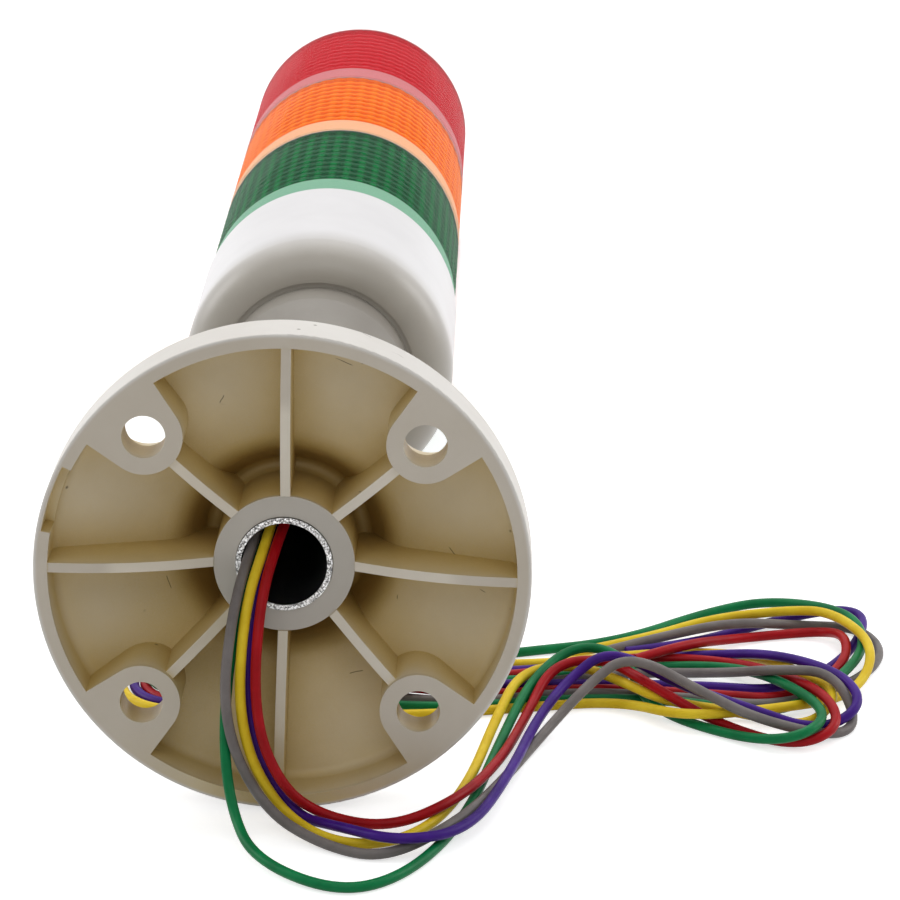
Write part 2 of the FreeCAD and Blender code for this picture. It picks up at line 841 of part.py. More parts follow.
def make_lens(colour, floor):
    """A tube lens: smooth outside, with rings of prisms inside between its two spigot bores."""
    foot = floor + half_seal
    is_top = colour == TIERS[-1]
    prism_foot = floor + s.tier_ring_above
    prism_head = floor + s.tier_pitch - s.tier_ring_below
    if is_top:
        prism_head = floor + s.tier_pitch
    ring_pitch = (prism_head - prism_foot) / s.prism_count
    corners = [
        Corner(shell_bore, foot),
        Corner(s.head_radius, foot),
    ]
    if is_top:
        ceiling = floor + s.tier_pitch
        corners.append(Corner(s.head_radius, ceiling + s.cap_thickness, s.cap_round))
        corners.append(Corner(0, ceiling + s.cap_thickness))
        corners.append(Corner(0, ceiling))
    else:
        head = floor + s.tier_pitch - half_seal
        corners.append(Corner(s.head_radius, head))
        corners.append(Corner(shell_bore, head))
        corners.append(Corner(shell_bore, prism_head))
    for k in range(int(s.prism_count.value)):
        tip = prism_head - ring_pitch * k
        corners.append(Corner(prism_bore, tip))
        corners.append(Corner(shell_bore, tip - ring_pitch * PRISM_RISE))
    corners.pop()
    corners.append(Corner(prism_bore, prism_foot))
    corners.append(Corner(shell_bore, prism_foot))
    lens = turned_body(f"lens_{colour}", corners)
    if is_top:
        length = s.tie_boss_length
        rod_bosses(lens, "cap_rod", ceiling - length, length + s.cap_thickness / 2)
        rod_holes(lens, "cap_rod_bore", ceiling - length, s.tie_rod_bite + s.tie_bore_spare, s.tie_rod_radius)
    return lens


def make_tier_ring(colour, floor):
    """The white ring behind the foot of a lens, with the web that carries the light source."""
    inner = ring_radius - s.tier_ring_wall
    foot = floor - s.tier_ring_below
    head = floor + s.tier_ring_above
    web = floor + s.tier_web_thickness
    ring = turned_body(f"tier_ring_{colour}", [
        Corner(s.tier_web_hole, floor),
        Corner(inner, floor),
        Corner(inner, foot),
        Corner(ring_radius, foot),
        Corner(ring_radius, head),
        Corner(inner, head),
        Corner(inner, web),
        Corner(s.tier_web_hole, web),
    ])
    rod_holes(ring, f"web_{colour}_rod", floor - CUT_MARGIN, s.tier_web_thickness + 2 * CUT_MARGIN, rod_hole)
    return ring


def make_seal(colour, floor):
    return turned_body(f"seal_{colour}", [
        Corner(ring_radius + s.seal_clearance, floor - half_seal),
        Corner(s.head_radius - s.seal_inset, floor - half_seal),
        Corner(s.head_radius - s.seal_inset, floor + half_seal),
        Corner(ring_radius + s.seal_clearance, floor + half_seal),
    ])


def make_led_carrier(colour, floor):
    body = doc.addObject("PartDesign::Body", f"led_carrier_{colour}")
    sketch = body_sketch(body, f"carrier_{colour}_section", "XY_Plane", floor + s.tier_web_thickness)
    half = s.carrier_side / 2
    draw_profile(sketch, [Corner(-half, -half), Corner(half, -half), Corner(half, half), Corner(-half, half)])
    draw_circle(sketch, "bore", 0, 0, s.carrier_bore)
    pad(body, f"carrier_{colour}_pad", sketch, s.carrier_height)
    return body


def make_led_boards(colour, floor):
    """Four boards, one on each face of the carrier."""
    boards = []
    bottom = floor + s.tier_web_thickness + (s.carrier_height - s.led_board_height) / 2
    out = s.carrier_side / 2
    for k in range(CARRIER_FACES):
        board = doc.addObject("Part::Box", f"led_board_{colour}{k}")
        bind(board, "Length", s.led_board_height)
        bind(board, "Width", s.led_board_width)
        bind(board, "Height", s.led_board_thickness)
        angle = 360.0 / CARRIER_FACES * k
        seat_on_face(board, angle, out, s.led_board_width / 2, bottom + s.led_board_height)
        boards.append(board)
    return group(f"led_boards_{colour}", boards)


def make_leds(colour, floor):
    """A column of light sources on each board."""
    leds = []
    step = s.led_board_height / s.led_count
    bottom = floor + s.tier_web_thickness + (s.carrier_height - s.led_board_height) / 2
    out = s.carrier_side / 2 + s.led_board_thickness
    for k in range(CARRIER_FACES):
        for n in range(int(s.led_count.value)):
            led = doc.addObject("Part::Box", f"led_{colour}{k}_{n}")
            bind(led, "Length", s.led_side)
            bind(led, "Width", s.led_side)
            bind(led, "Height", s.led_thickness)
            top = bottom + step * (n + 0.5) + s.led_side / 2
            seat_on_face(led, 360.0 / CARRIER_FACES * k, out, s.led_side / 2, top)
            leds.append(led)
    return group(f"leds_{colour}", leds)


def seat_on_face(box, angle, out, half_width, top):
    """Lays a box flat against a face of the carrier, with its upper edge at a height."""
    turn = math.radians(angle)
    x = out * math.cos(turn) + half_width * math.sin(turn)
    y = out * math.sin(turn) - half_width * math.cos(turn)
    place(box, x, y, top, radial(angle))


def make_tie_rods():
    """The long rods that clamp the tiers between the cap and the body."""
    foot = board_seat - s.tie_rod_bite
    head = head_top - s.cap_thickness - s.tie_boss_length + s.tie_rod_bite
    rods = []
    for k, (x, y) in enumerate(ring_places(s.tie_rod_count, s.tie_rod_circle, FIRST_ROD)):
        rods.append(cylinder(f"tie_rod{k}", x, y, foot, s.tie_rod_radius, head - foot))
    return group("tie_rods", rods)


def make_tie_nuts():
    """Nuts that hold the first ring down on the body."""
    seat = body_top + s.tier_web_thickness
    nuts = []
    for k, (x, y) in enumerate(ring_places(s.tie_rod_count, s.tie_rod_circle, FIRST_ROD)):
        blank = hexagon(f"tie_nut_blank{k}", x, y, seat, s.tie_nut_flats, s.tie_nut_thickness)
        bore = cylinder(f"tie_nut_bore{k}", x, y, seat - CUT_MARGIN, s.tie_rod_radius,
                        s.tie_nut_thickness + 2 * CUT_MARGIN)
        nuts.append(cut(f"tie_nut{k}", blank, [bore]))
    return group("tie_nuts", nuts)


nodes = [
    make_base_flange(),
    make_pole(),
    make_flange_set_screws(),
    make_pole_socket(),
    make_socket_lock_screws(),
    make_pole_nut(),
    make_pole_grommet(),
    make_body_housing(),
    make_driver_board(),
    make_terminal_block(),
    make_sounder(),
    make_driver_chip(),
    make_tie_rods(),
    make_tie_nuts(),
]
for tier, colour in enumerate(TIERS):
    tier_floor = body_top + s.tier_pitch * tier
    nodes.append(make_lens(colour, tier_floor))
    nodes.append(make_tier_ring(colour, tier_floor))
    nodes.append(make_seal(colour, tier_floor))
    nodes.append(make_led_carrier(colour, tier_floor))
    nodes.append(make_led_boards(colour, tier_floor))
    nodes.append(make_leds(colour, tier_floor))
doc.recompute()


# The light lies on the rim of its flange and on the edge of its head

def lay_placement():
    """Rolls the light a little, tips it over and sets it down, centred on the ground."""
    rim_round = s.rim_round.value
    cap_round = s.cap_round.value
    rim_spot = (s.flange_radius.value - rim_round, s.rim_height.value - rim_round)
    head_spot = (s.head_radius.value - cap_round, head_top.value - cap_round)
    drop = rim_spot[0] - head_spot[0]
    run = head_spot[1] - rim_spot[1]
    tilt = math.acos((cap_round - rim_round) / math.hypot(drop, run)) - math.atan2(run, drop)
    height = rim_spot[0] * math.cos(tilt) + rim_spot[1] * math.sin(tilt) + rim_round
    front = -s.flange_radius.value * math.sin(tilt)
    back = head_spot[1] * math.cos(tilt) + head_spot[0] * math.sin(tilt) + cap_round
    roll = FreeCAD.Rotation(AXIS, s.lay_roll.value)
    tip = FreeCAD.Rotation(FreeCAD.Vector(1, 0, 0), -90.0 - math.degrees(tilt))
    return FreeCAD.Placement(FreeCAD.Vector(0, -(front + back) / 2, height), tip * roll), math.degrees(tilt)


lay, lay_tilt = lay_placement()
print(f"tilt of the laid light: {lay_tilt:.3f} degrees")
for node in nodes:
    node.Placement = lay
    node.Label = node.Name
doc.recompute()


# Wires
#
# Five single leads leave the foot of the pole, drop to the ground and lie there in two loops beside and
# behind the flange. Each route is a list of points in the frame of the laid light.

WIRE_ROUTES = {
    "red": [
        (0.5, -201, 61), (-1, -217, 61.5), (-5, -233, 50.5), (-6, -242.5, 27), (0, -242, 10),
        (9.5, -238, 1.25), (24.5, -245, 2), (39.5, -235.5, 5), (48.5, -210, 3), (54.5, -179.5, 1.25),
        (60.5, -165, 8.5), (73.5, -160, 8), (83.5, -177, 8.5), (99.5, -184, 1.25), (117, -197.5, 1.25),
        (128, -192, 4), (125.5, -179.5, 7.5), (113, -156.5, 4), (100, -144.5, 1.25), (79, -146.5, 3),
        (50, -157, 1.25), (24.5, -152.5, 1.25), (-11, -145, 1.25), (-33.5, -148, 1.25),
        (-39.5, -161, 1.25), (-32, -173.5, 1.25), (-8.5, -176, 2), (20, -169.5, 5), (43, -168, 1.25),
        (69, -162, 1.25), (99.5, -166, 1.25), (117.5, -169, 1.25), (132, -151, 2.5),
        (133.5, -138, 5.5), (127.5, -125, 1.25), (106.5, -130.5, 1.25), (92.5, -145, 5.5),
        (81, -152, 4.5),
    ],
    "yellow": [
        (-3, -201, 61), (-3.5, -218, 61.5), (-8.5, -234, 49), (-9.5, -242.5, 23.5),
        (-0.5, -239.5, 2.5), (14, -253.5, 1.25), (30, -248.5, 1.25), (40.5, -224, 1.25),
        (47.5, -184, 3), (53, -162.5, 5.5), (66.5, -154, 4), (78.5, -171, 6), (87, -178, 4.5),
        (106.5, -177.5, 1.25), (121, -186.5, 1.25), (129.5, -174.5, 6), (118.5, -159.5, 5.5),
        (108.5, -140.5, 1.25), (88, -139.5, 1.25), (56.5, -148.5, 1.25), (31, -148, 1.25),
        (-8, -138.5, 1.25), (-35.5, -142.5, 1.25), (-45.5, -156.5, 1.25), (-39, -177, 1.25),
        (-16.5, -182, 2.5), (27, -180.5, 1.25), (55, -174.5, 1.25), (77, -170.5, 1.25),
        (91.5, -188.5, 5), (113.5, -181, 4), (133.5, -166.5, 1.25), (140, -148, 6.5), (131, -126.5, 7),
        (120, -120.5, 5), (100.5, -120.5, 2.5), (84, -131, 1.25), (65, -141, 1.25),
    ],
    "green": [
        (-4, -201, 57), (-6, -216, 58.5), (-11, -234, 43.5), (-13, -240.5, 22), (-11, -246, 6.5),
        (-5, -262, 2), (13.5, -276.5, 1.25), (28, -268.5, 1.25), (40.5, -240, 1.25),
        (48.5, -194, 1.25), (55.5, -166.5, 5), (66.5, -153, 9), (78.5, -159.5, 8.5), (83, -175, 1.25),
        (105, -193, 1.25), (118, -199.5, 4.5), (126, -188, 6), (115, -166, 5.5), (102, -147.5, 1.25),
        (77, -150, 1.25), (44, -161.5, 1.25), (11, -151.5, 1.25), (-21.5, -148, 2.5),
        (-37.5, -151, 4.5), (-36.5, -167, 3.5), (-25.5, -172, 2.5), (-6, -168.5, 1.25),
        (33.5, -176.5, 1.25), (61, -169.5, 1.25), (89, -169, 1.25), (113.5, -179, 1.25),
        (128, -166, 4), (138.5, -140.5, 3.5), (135, -127, 7.5), (116.5, -108.5, 3), (100, -113, 1.25),
        (77.5, -133, 1.25), (53.5, -140, 1.25), (41, -144, 1.25),
    ],
    "purple": [
        (-1.5, -201, 58), (-3, -216.5, 59), (-7.5, -232, 47), (-7.5, -240, 23), (1.5, -237, 1.25),
        (13.5, -248, 3.5), (26.5, -259.5, 5.5), (42, -249, 3.5), (51, -220, 5), (56.5, -187.5, 3),
        (64, -169.5, 6), (74.5, -164, 12.5), (90.5, -174, 7), (105, -187.5, 7.5), (123, -188.5, 1.25),
        (134, -183, 5.5), (130.5, -170.5, 8.5), (115, -155, 7.5), (99.5, -141, 1.25), (78, -145, 1.25),
        (47, -154.5, 1.25), (20.5, -148, 1.25), (-17, -142, 1.25), (-37, -146.5, 1.25),
        (-42, -162.5, 1.25), (-33.5, -175.5, 1.25), (-7.5, -180, 4), (18.5, -167.5, 8),
        (38, -166.5, 3.5), (66.5, -160, 1.25), (96, -160.5, 1.25), (117, -164, 1.25),
        (133, -143.5, 1.25), (140, -124, 4.5), (133, -113.5, 3), (113.5, -120.5, 1.25),
        (95, -134.5, 1.25), (79, -139.5, 1.25),
    ],
    "gray": [
        (-5.5, -201, 60.5), (-7, -218.5, 60), (-11, -235, 49), (-13, -243.5, 26.5),
        (-4.5, -241.5, 5), (9.5, -253, 1.25), (24, -259.5, 1.25), (40, -246.5, 5), (48, -220, 1.25),
        (58, -191.5, 1.25), (69, -178.5, 9), (79, -171, 14), (97, -183.5, 8.5), (108.5, -192, 6),
        (126.5, -191.5, 1.25), (133, -182, 1.25), (127.5, -172.5, 10), (114.5, -167.5, 8.5),
        (101.5, -153, 1.25), (79, -152.5, 1.25), (47.5, -163, 1.25), (20, -159.5, 1.25),
        (-12.5, -151, 1.25), (-28.5, -151, 1.25), (-33, -159.5, 1.25), (-28, -167.5, 1.25),
        (-13, -166.5, 1.25), (12, -166, 1.25), (39.5, -173, 1.25), (65.5, -164.5, 1.25),
        (96, -168.5, 1.25), (113, -173.5, 1.25), (133, -160, 1.25), (143, -140, 1.25),
        (138, -122.5, 1.25), (124, -121.5, 1.25), (105.5, -131, 6), (87, -132, 2),
        (73.5, -139.5, 1.25),
    ],
}


class Bend:
    """The arc that rounds one corner of a route, touching both of its runs."""

    def __init__(self, before, corner, after):
        back = before - corner
        ahead = after - corner
        reach = BEND_SHARE * min(back.Length, ahead.Length)
        back.normalize()
        ahead.normalize()
        half = back.getAngle(ahead) / 2
        self.radius = reach * math.tan(half)
        self.enter = corner + back * reach
        self.leave = corner + ahead * reach
        inwards = (back + ahead).normalize()
        self.middle = corner + inwards * (self.radius / math.sin(half) - self.radius)


def make_wire(colour, points):
    """A round lead of straight runs joined by arcs."""
    route = [FreeCAD.Vector(*point) for point in points]
    bends = [Bend(*route[i - 1:i + 2]) for i in range(1, len(route) - 1)]
    edges = []
    spot = route[0]
    for bend in bends:
        edges.append(Part.LineSegment(spot, bend.enter).toShape())
        edges.append(Part.Arc(bend.enter, bend.middle, bend.leave).toShape())
        spot = bend.leave
    edges.append(Part.LineSegment(spot, route[-1]).toShape())
    path = Part.Wire(edges)
    radius = s.wire_diameter.value / 2
    section = Part.Wire(Part.Circle(route[0], route[1] - route[0], radius).toShape())
    tube = path.makePipeShell([section], True, False)
    wire = doc.addObject("Part::Feature", f"wire_{colour}")
    wire.Shape = tube
    share = tube.Volume / (math.pi * radius ** 2 * path.Length)
    print(f"{wire.Name}: {path.Length:.1f} mm, volume {share:.4f} of section times length")
    print(f"{wire.Name} radii:", " ".join(f"{bend.radius:.1f}" for bend in bends))
    return wire


wires = [make_wire(colour, points) for colour, points in WIRE_ROUTES.items()]


def check(thing):
    """Stops if an object failed or a sub-part is not a sound solid."""
    if "Invalid" in thing.State or "Error" in thing.State:
        raise ValueError(f"{thing.Name} failed: {thing.State}")


for thing in doc.Objects:
    check(thing)
os.makedirs("parts", exist_ok=True)
for node in nodes + wires:
    shape = node.Shape
    if shape.isNull() or not shape.isValid() or not shape.Solids:
        raise ValueError(f"{node.Name} is not a sound solid")
    shape.exportStep(f"parts/{node.Label}.step")
    print(f"{node.Label}: {len(shape.Solids)} solids, {shape.Volume / 1000:.2f} cm3")
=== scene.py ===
# %% [markdown]
# # A three-tier stack light
#
# A stack light stands on a machine and says from afar how the machine is doing. This one lies on its side, so
# that we look into the hollow of its base flange, with the tower behind it and five loose leads in front. The
# solids come from a CAD model, which is loaded as a frame. This lesson gives them their looks, and replaces
# the few pieces that need finer shapes than a CAD solid has.

import math

import bmesh
import bpy
from mathutils import Matrix, Vector


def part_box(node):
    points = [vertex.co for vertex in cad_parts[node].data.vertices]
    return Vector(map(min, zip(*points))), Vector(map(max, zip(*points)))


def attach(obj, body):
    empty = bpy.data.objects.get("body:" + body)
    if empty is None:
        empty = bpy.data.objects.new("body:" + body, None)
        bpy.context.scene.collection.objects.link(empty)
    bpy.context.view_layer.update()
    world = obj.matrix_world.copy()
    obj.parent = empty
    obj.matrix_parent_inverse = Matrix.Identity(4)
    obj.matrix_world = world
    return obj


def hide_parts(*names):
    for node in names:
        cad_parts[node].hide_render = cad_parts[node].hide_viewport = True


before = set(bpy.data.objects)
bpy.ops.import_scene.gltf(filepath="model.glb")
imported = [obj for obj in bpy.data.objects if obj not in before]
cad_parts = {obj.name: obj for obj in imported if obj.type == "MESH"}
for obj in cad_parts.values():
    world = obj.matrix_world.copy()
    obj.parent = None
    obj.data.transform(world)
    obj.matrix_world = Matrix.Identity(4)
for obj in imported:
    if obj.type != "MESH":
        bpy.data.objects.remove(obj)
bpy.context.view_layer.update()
scene = bpy.context.scene
MM = 0.001

# %% [markdown]
# ## The camera
#
# The camera comes first, because every later decision depends on what it sees. It stands low in front of the
# flange with a long lens, which keeps the far head of the tower nearly as wide as the near end. A camera's
# turn is set here from three directions, right, up and back, since they say plainly where it looks.

# %% Camera
CAMERA_PLACE = Vector((51.43, -1056.52, 378.40)) * MM
CAMERA_AIM = Vector((37.0, -219.3, 82.0)) * MM
LENS = 160.57
SENSOR = 36.0
NEAREST_SEEN, FARTHEST_SEEN = 0.05, 30.0

camera_data = bpy.data.cameras.new("camera")
camera_data.lens = LENS
camera_data.sensor_width = SENSOR
camera_data.clip_start = NEAREST_SEEN
camera_data.clip_end = FARTHEST_SEEN
camera = bpy.data.objects.new("camera", camera_data)
scene.collection.objects.link(camera)
back = (CAMERA_PLACE - CAMERA_AIM).normalized()
right = Vector((0, 0, 1)).cross(back).normalized()
up = back.cross(right)
camera_turn = Matrix((right, up, back)).transposed().to_4x4()
camera.matrix_world = Matrix.Translation(CAMERA_PLACE) @ camera_turn
scene.camera = camera
scene.view_settings.view_transform = "Standard"
print("camera stands", [round(v, 3) for v in CAMERA_PLACE])

# %% [markdown]
# ## The leads
#
# Five thin leads in PVC insulation come out of the pole, drop to the ground and lie there in two loose loops.
# A lead could be a mesh tube, but a curve is shorter to write and stays smooth. The points below are control
# points in millimetres: a NURBS curve of order 3 runs near them and touches the first and the last. Most lie
# on the ground, and where two leads cross, the upper one rises in a low hump. The order is set after the
# points are there, because a spline without points can't hold it.

# %% Routes of the leads
LEAD_DIAMETER = 2.4 * MM
LAID = 1.25  # the height of a lead's middle where it lies on the ground
ROUTES = {
    "red": [
        (0.5, -201, 61), (-1, -217, 61.5), (-5, -233, 50.5), (-6, -242.5, 27), (0, -242, 10),
        (9.5, -238, LAID), (24.5, -245, 2), (39.5, -235.5, 5), (48.5, -210, 3), (54.5, -179.5, LAID),
        (60.5, -165, 8.5), (73.5, -160, 8), (83.5, -177, 8.5), (99.5, -184, LAID), (117, -197.5, LAID),
        (128, -192, 4), (125.5, -179.5, 7.5), (113, -156.5, 4), (100, -144.5, LAID), (79, -146.5, 3),
        (50, -157, LAID), (24.5, -152.5, LAID), (-11, -145, LAID), (-33.5, -148, LAID),
        (-39.5, -161, LAID), (-32, -173.5, LAID), (-8.5, -176, 2), (20, -169.5, 5), (43, -168, LAID),
        (69, -162, LAID), (99.5, -166, LAID), (117.5, -169, LAID), (132, -151, 2.5),
        (133.5, -138, 5.5), (127.5, -125, LAID), (106.5, -130.5, LAID), (92.5, -145, 5.5),
        (81, -152, 4.5),
    ],
    "yellow": [
        (-3, -201, 61), (-3.5, -218, 61.5), (-8.5, -234, 49), (-9.5, -242.5, 23.5),
        (-0.5, -239.5, 2.5), (14, -253.5, LAID), (30, -248.5, LAID), (40.5, -224, LAID),
        (47.5, -184, 3), (53, -162.5, 5.5), (66.5, -154, 4), (78.5, -171, 6), (87, -178, 4.5),
        (106.5, -177.5, LAID), (121, -186.5, LAID), (129.5, -174.5, 6), (118.5, -159.5, 5.5),
        (108.5, -140.5, LAID), (88, -139.5, LAID), (56.5, -148.5, LAID), (31, -148, LAID),
        (-8, -138.5, LAID), (-35.5, -142.5, LAID), (-45.5, -156.5, LAID), (-39, -177, LAID),
        (-16.5, -182, 2.5), (27, -180.5, LAID), (55, -174.5, LAID), (77, -170.5, LAID),
        (91.5, -188.5, 5), (113.5, -181, 4), (133.5, -166.5, LAID), (140, -148, 6.5), (131, -126.5, 7),
        (120, -120.5, 5), (100.5, -120.5, 2.5), (84, -131, LAID), (65, -141, LAID),
    ],
    "green": [
        (-4, -201, 57), (-6, -216, 58.5), (-11, -234, 43.5), (-13, -240.5, 22), (-11, -246, 6.5),
        (-5, -262, 2), (13.5, -276.5, LAID), (28, -268.5, LAID), (40.5, -240, LAID),
        (48.5, -194, LAID), (55.5, -166.5, 5), (66.5, -153, 9), (78.5, -159.5, 8.5), (83, -175, LAID),
        (105, -193, LAID), (118, -199.5, 4.5), (126, -188, 6), (115, -166, 5.5), (102, -147.5, LAID),
        (77, -150, LAID), (44, -161.5, LAID), (11, -151.5, LAID), (-21.5, -148, 2.5),
        (-37.5, -151, 4.5), (-36.5, -167, 3.5), (-25.5, -172, 2.5), (-6, -168.5, LAID),
        (33.5, -176.5, LAID), (61, -169.5, LAID), (89, -169, LAID), (113.5, -179, LAID),
        (128, -166, 4), (138.5, -140.5, 3.5), (135, -127, 7.5), (116.5, -108.5, 3), (100, -113, LAID),
        (77.5, -133, LAID), (53.5, -140, LAID), (41, -144, LAID),
    ],
    "purple": [
        (-1.5, -201, 58), (-3, -216.5, 59), (-7.5, -232, 47), (-7.5, -240, 23), (1.5, -237, LAID),
        (13.5, -248, 3.5), (26.5, -259.5, 5.5), (42, -249, 3.5), (51, -220, 5), (56.5, -187.5, 3),
        (64, -169.5, 6), (74.5, -164, 12.5), (90.5, -174, 7), (105, -187.5, 7.5), (123, -188.5, LAID),
        (134, -183, 5.5), (130.5, -170.5, 8.5), (115, -155, 7.5), (99.5, -141, LAID), (78, -145, LAID),
        (47, -154.5, LAID), (20.5, -148, LAID), (-17, -142, LAID), (-37, -146.5, LAID),
        (-42, -162.5, LAID), (-33.5, -175.5, LAID), (-7.5, -180, 4), (18.5, -167.5, 8),
        (38, -166.5, 3.5), (66.5, -160, LAID), (96, -160.5, LAID), (117, -164, LAID),
        (133, -143.5, LAID), (140, -124, 4.5), (133, -113.5, 3), (113.5, -120.5, LAID),
        (95, -134.5, LAID), (79, -139.5, LAID),
    ],
    "gray": [
        (-5.5, -201, 60.5), (-7, -218.5, 60), (-11, -235, 49), (-13, -243.5, 26.5),
        (-4.5, -241.5, 5), (9.5, -253, LAID), (24, -259.5, LAID), (40, -246.5, 5), (48, -220, LAID),
        (58, -191.5, LAID), (69, -178.5, 9), (79, -171, 14), (97, -183.5, 8.5), (108.5, -192, 6),
        (126.5, -191.5, LAID), (133, -182, LAID), (127.5, -172.5, 10), (114.5, -167.5, 8.5),
        (101.5, -153, LAID), (79, -152.5, LAID), (47.5, -163, LAID), (20, -159.5, LAID),
        (-12.5, -151, LAID), (-28.5, -151, LAID), (-33, -159.5, LAID), (-28, -167.5, LAID),
        (-13, -166.5, LAID), (12, -166, LAID), (39.5, -173, LAID), (65.5, -164.5, LAID),
        (96, -168.5, LAID), (113, -173.5, LAID), (133, -160, LAID), (143, -140, LAID),
        (138, -122.5, LAID), (124, -121.5, LAID), (105.5, -131, 6), (87, -132, 2),
        (73.5, -139.5, LAID),
    ],
}


def lay_lead(colour, points):
    """A smooth curve along a route, as thick as the lead."""
    data = bpy.data.curves.new(f"lead_{colour}", "CURVE")
    data.dimensions = "3D"
    data.resolution_u = 10
    data.bevel_depth = LEAD_DIAMETER / 2
    data.bevel_resolution = 5
    data.use_fill_caps = True
    spline = data.splines.new("NURBS")
    spline.points.add(len(points) - 1)
    for spot, point in zip(spline.points, points):
        spot.co = (*(Vector(point) * MM), 1.0)
    spline.order_u = 3
    spline.use_endpoint_u = True
    lead = bpy.data.objects.new(f"lead_{colour}", data)
    scene.collection.objects.link(lead)
    return lead


leads = {colour: lay_lead(colour, points) for colour, points in ROUTES.items()}
print("leads", sorted(leads))

# %% [markdown]
# ## Node helpers
#
# A material is a small tree of nodes. Adding nodes one by one takes many lines, so a few helpers do it: one
# adds a node and fills its sockets, with numbers or with another node's output, and one adds a step of
# arithmetic. Geometry Nodes use the same math node, so both kinds of tree share these helpers.

# %% Node helpers
def feed(tree, value, socket):
    """Links an output to a socket, or writes a plain value into it."""
    if isinstance(value, bpy.types.NodeSocket):
        tree.links.new(value, socket)
    else:
        socket.default_value = value


def add(tree, kind, sockets=None, **settings):
    """Adds a node, sets its options and feeds its sockets."""
    node = tree.nodes.new(kind)
    for name, value in settings.items():
        setattr(node, name, value)
    for name, value in (sockets or {}).items():
        feed(tree, value, node.inputs[name])
    return node


def calc(tree, operation, *values, clamp=False):
    """One step of arithmetic."""
    node = add(tree, "ShaderNodeMath", operation=operation, use_clamp=clamp)
    for socket, value in zip(node.inputs, values):
        feed(tree, value, socket)
    return node.outputs[0]


def step(tree, value, low, high):
    """Rises smoothly from 0 at low to 1 at high."""
    sockets = {"Value": value, "From Min": low, "From Max": high}
    return add(tree, "ShaderNodeMapRange", sockets, interpolation_type="SMOOTHSTEP").outputs["Result"]


def fall(tree, value, low, high):
    """Falls smoothly from 1 at low to 0 at high."""
    return calc(tree, "SUBTRACT", 1.0, step(tree, value, low, high))


def blend(tree, share, first, second):
    """Mixes two colours."""
    node = tree.nodes.new("ShaderNodeMix")
    node.data_type = "RGBA"
    colour_sockets = [socket for socket in node.inputs if socket.type == "RGBA"]
    feed(tree, share, node.inputs["Factor"])
    feed(tree, first, colour_sockets[0])
    feed(tree, second, colour_sockets[1])
    return next(socket for socket in node.outputs if socket.type == "RGBA")


def noise(tree, position, scale, detail=3.0, roughness=0.5):
    """Plain cloudy noise, from 0 to 1."""
    sockets = {"Vector": position, "Scale": scale, "Detail": detail, "Roughness": roughness}
    return add(tree, "ShaderNodeTexNoise", sockets).outputs["Fac"]


def linear(hex_colour):
    """A colour as nodes want it, from the way it is written on a screen."""
    parts = [int(hex_colour[k:k + 2], 16) / 255 for k in (0, 2, 4)]
    return (*[p / 12.92 if p <= 0.04045 else ((p + 0.055) / 1.055) ** 2.4 for p in parts], 1.0)


print("red is written", [round(v, 3) for v in linear("C9363F")])

# %% [markdown]
# ## Node groups
#
# An effect that several materials share is a node group: a small tree of its own with named inputs and
# outputs. It is built once, and each material places it with its own values. Copying its nodes into every
# material would look the same, but then each change has to be made in all of them.

# %% Group helpers
VECTOR = "NodeSocketVector"
FLOAT = "NodeSocketFloat"


def new_group(name, inputs, outputs):
    """An empty shader group with named sockets."""
    group = bpy.data.node_groups.new(name, "ShaderNodeTree")
    for label, kind in inputs:
        group.interface.new_socket(label, in_out="INPUT", socket_type=kind)
    for label, kind in outputs:
        group.interface.new_socket(label, in_out="OUTPUT", socket_type=kind)
    entry = group.nodes.new("NodeGroupInput")
    leave = group.nodes.new("NodeGroupOutput")
    return group, entry.outputs, leave.inputs


def use_group(tree, group, **sockets):
    """Places a group in a material; an underscore in a name stands for a space."""
    node = tree.nodes.new("ShaderNodeGroup")
    node.node_tree = group
    for name, value in sockets.items():
        feed(tree, value, node.inputs[name.replace("_", " ")])
    return node.outputs


def object_position(tree):
    """Where a point lies on the object, whatever way the camera looks."""
    return add(tree, "ShaderNodeTexCoord").outputs["Object"]


print("groups pass on", VECTOR, "and", FLOAT)

# %% [markdown]
# ## The tower's own frame
#
# Rings and flutes go round the tower's axis, so their patterns need coordinates along and around it. Two of
# the seals between the tiers are plain rings, so the middles of their boxes lie on the axis. They give its
# direction, and with the seals' heights also where the flange's face is. Typing the tower's slope in would
# work until the CAD model changes.

# %% Find the tower's axis
SEAL_HEIGHTS = {"seal_green": 226.4 * MM, "seal_red": 379.4 * MM}
TIER_PITCH = 76.5 * MM
HEAD_RADIUS = 35.0 * MM


def middle(node):
    """The middle of a node's box."""
    low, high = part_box(node)
    return (low + high) / 2


axis = (middle("seal_red") - middle("seal_green")).normalized()
face_middle = middle("seal_green") - axis * SEAL_HEIGHTS["seal_green"]
side = Vector((1, 0, 0))
LAY = Matrix.Translation(face_middle) @ Matrix((side, axis.cross(side), axis)).transposed().to_4x4()
UNLAY = LAY.inverted()
print("axis", [round(v, 4) for v in axis], "face", [round(v, 4) for v in face_middle])

# %% [markdown]
# ## Coordinates round the tower
#
# A Mapping node turns Object coordinates into the tower's own. From them a group works out the distance from
# the axis, the angle round it and the height along it. A gradient texture gives an angle too, but its height
# and distance would need more nodes of their own.

# %% Coordinates round the tower
def tower_position(tree):
    """Object coordinates turned so that Z runs along the tower from the flange's face."""
    sockets = {"Vector": object_position(tree), "Location": UNLAY.translation,
               "Rotation": UNLAY.to_euler()}
    return add(tree, "ShaderNodeMapping", sockets, vector_type="POINT").outputs["Vector"]


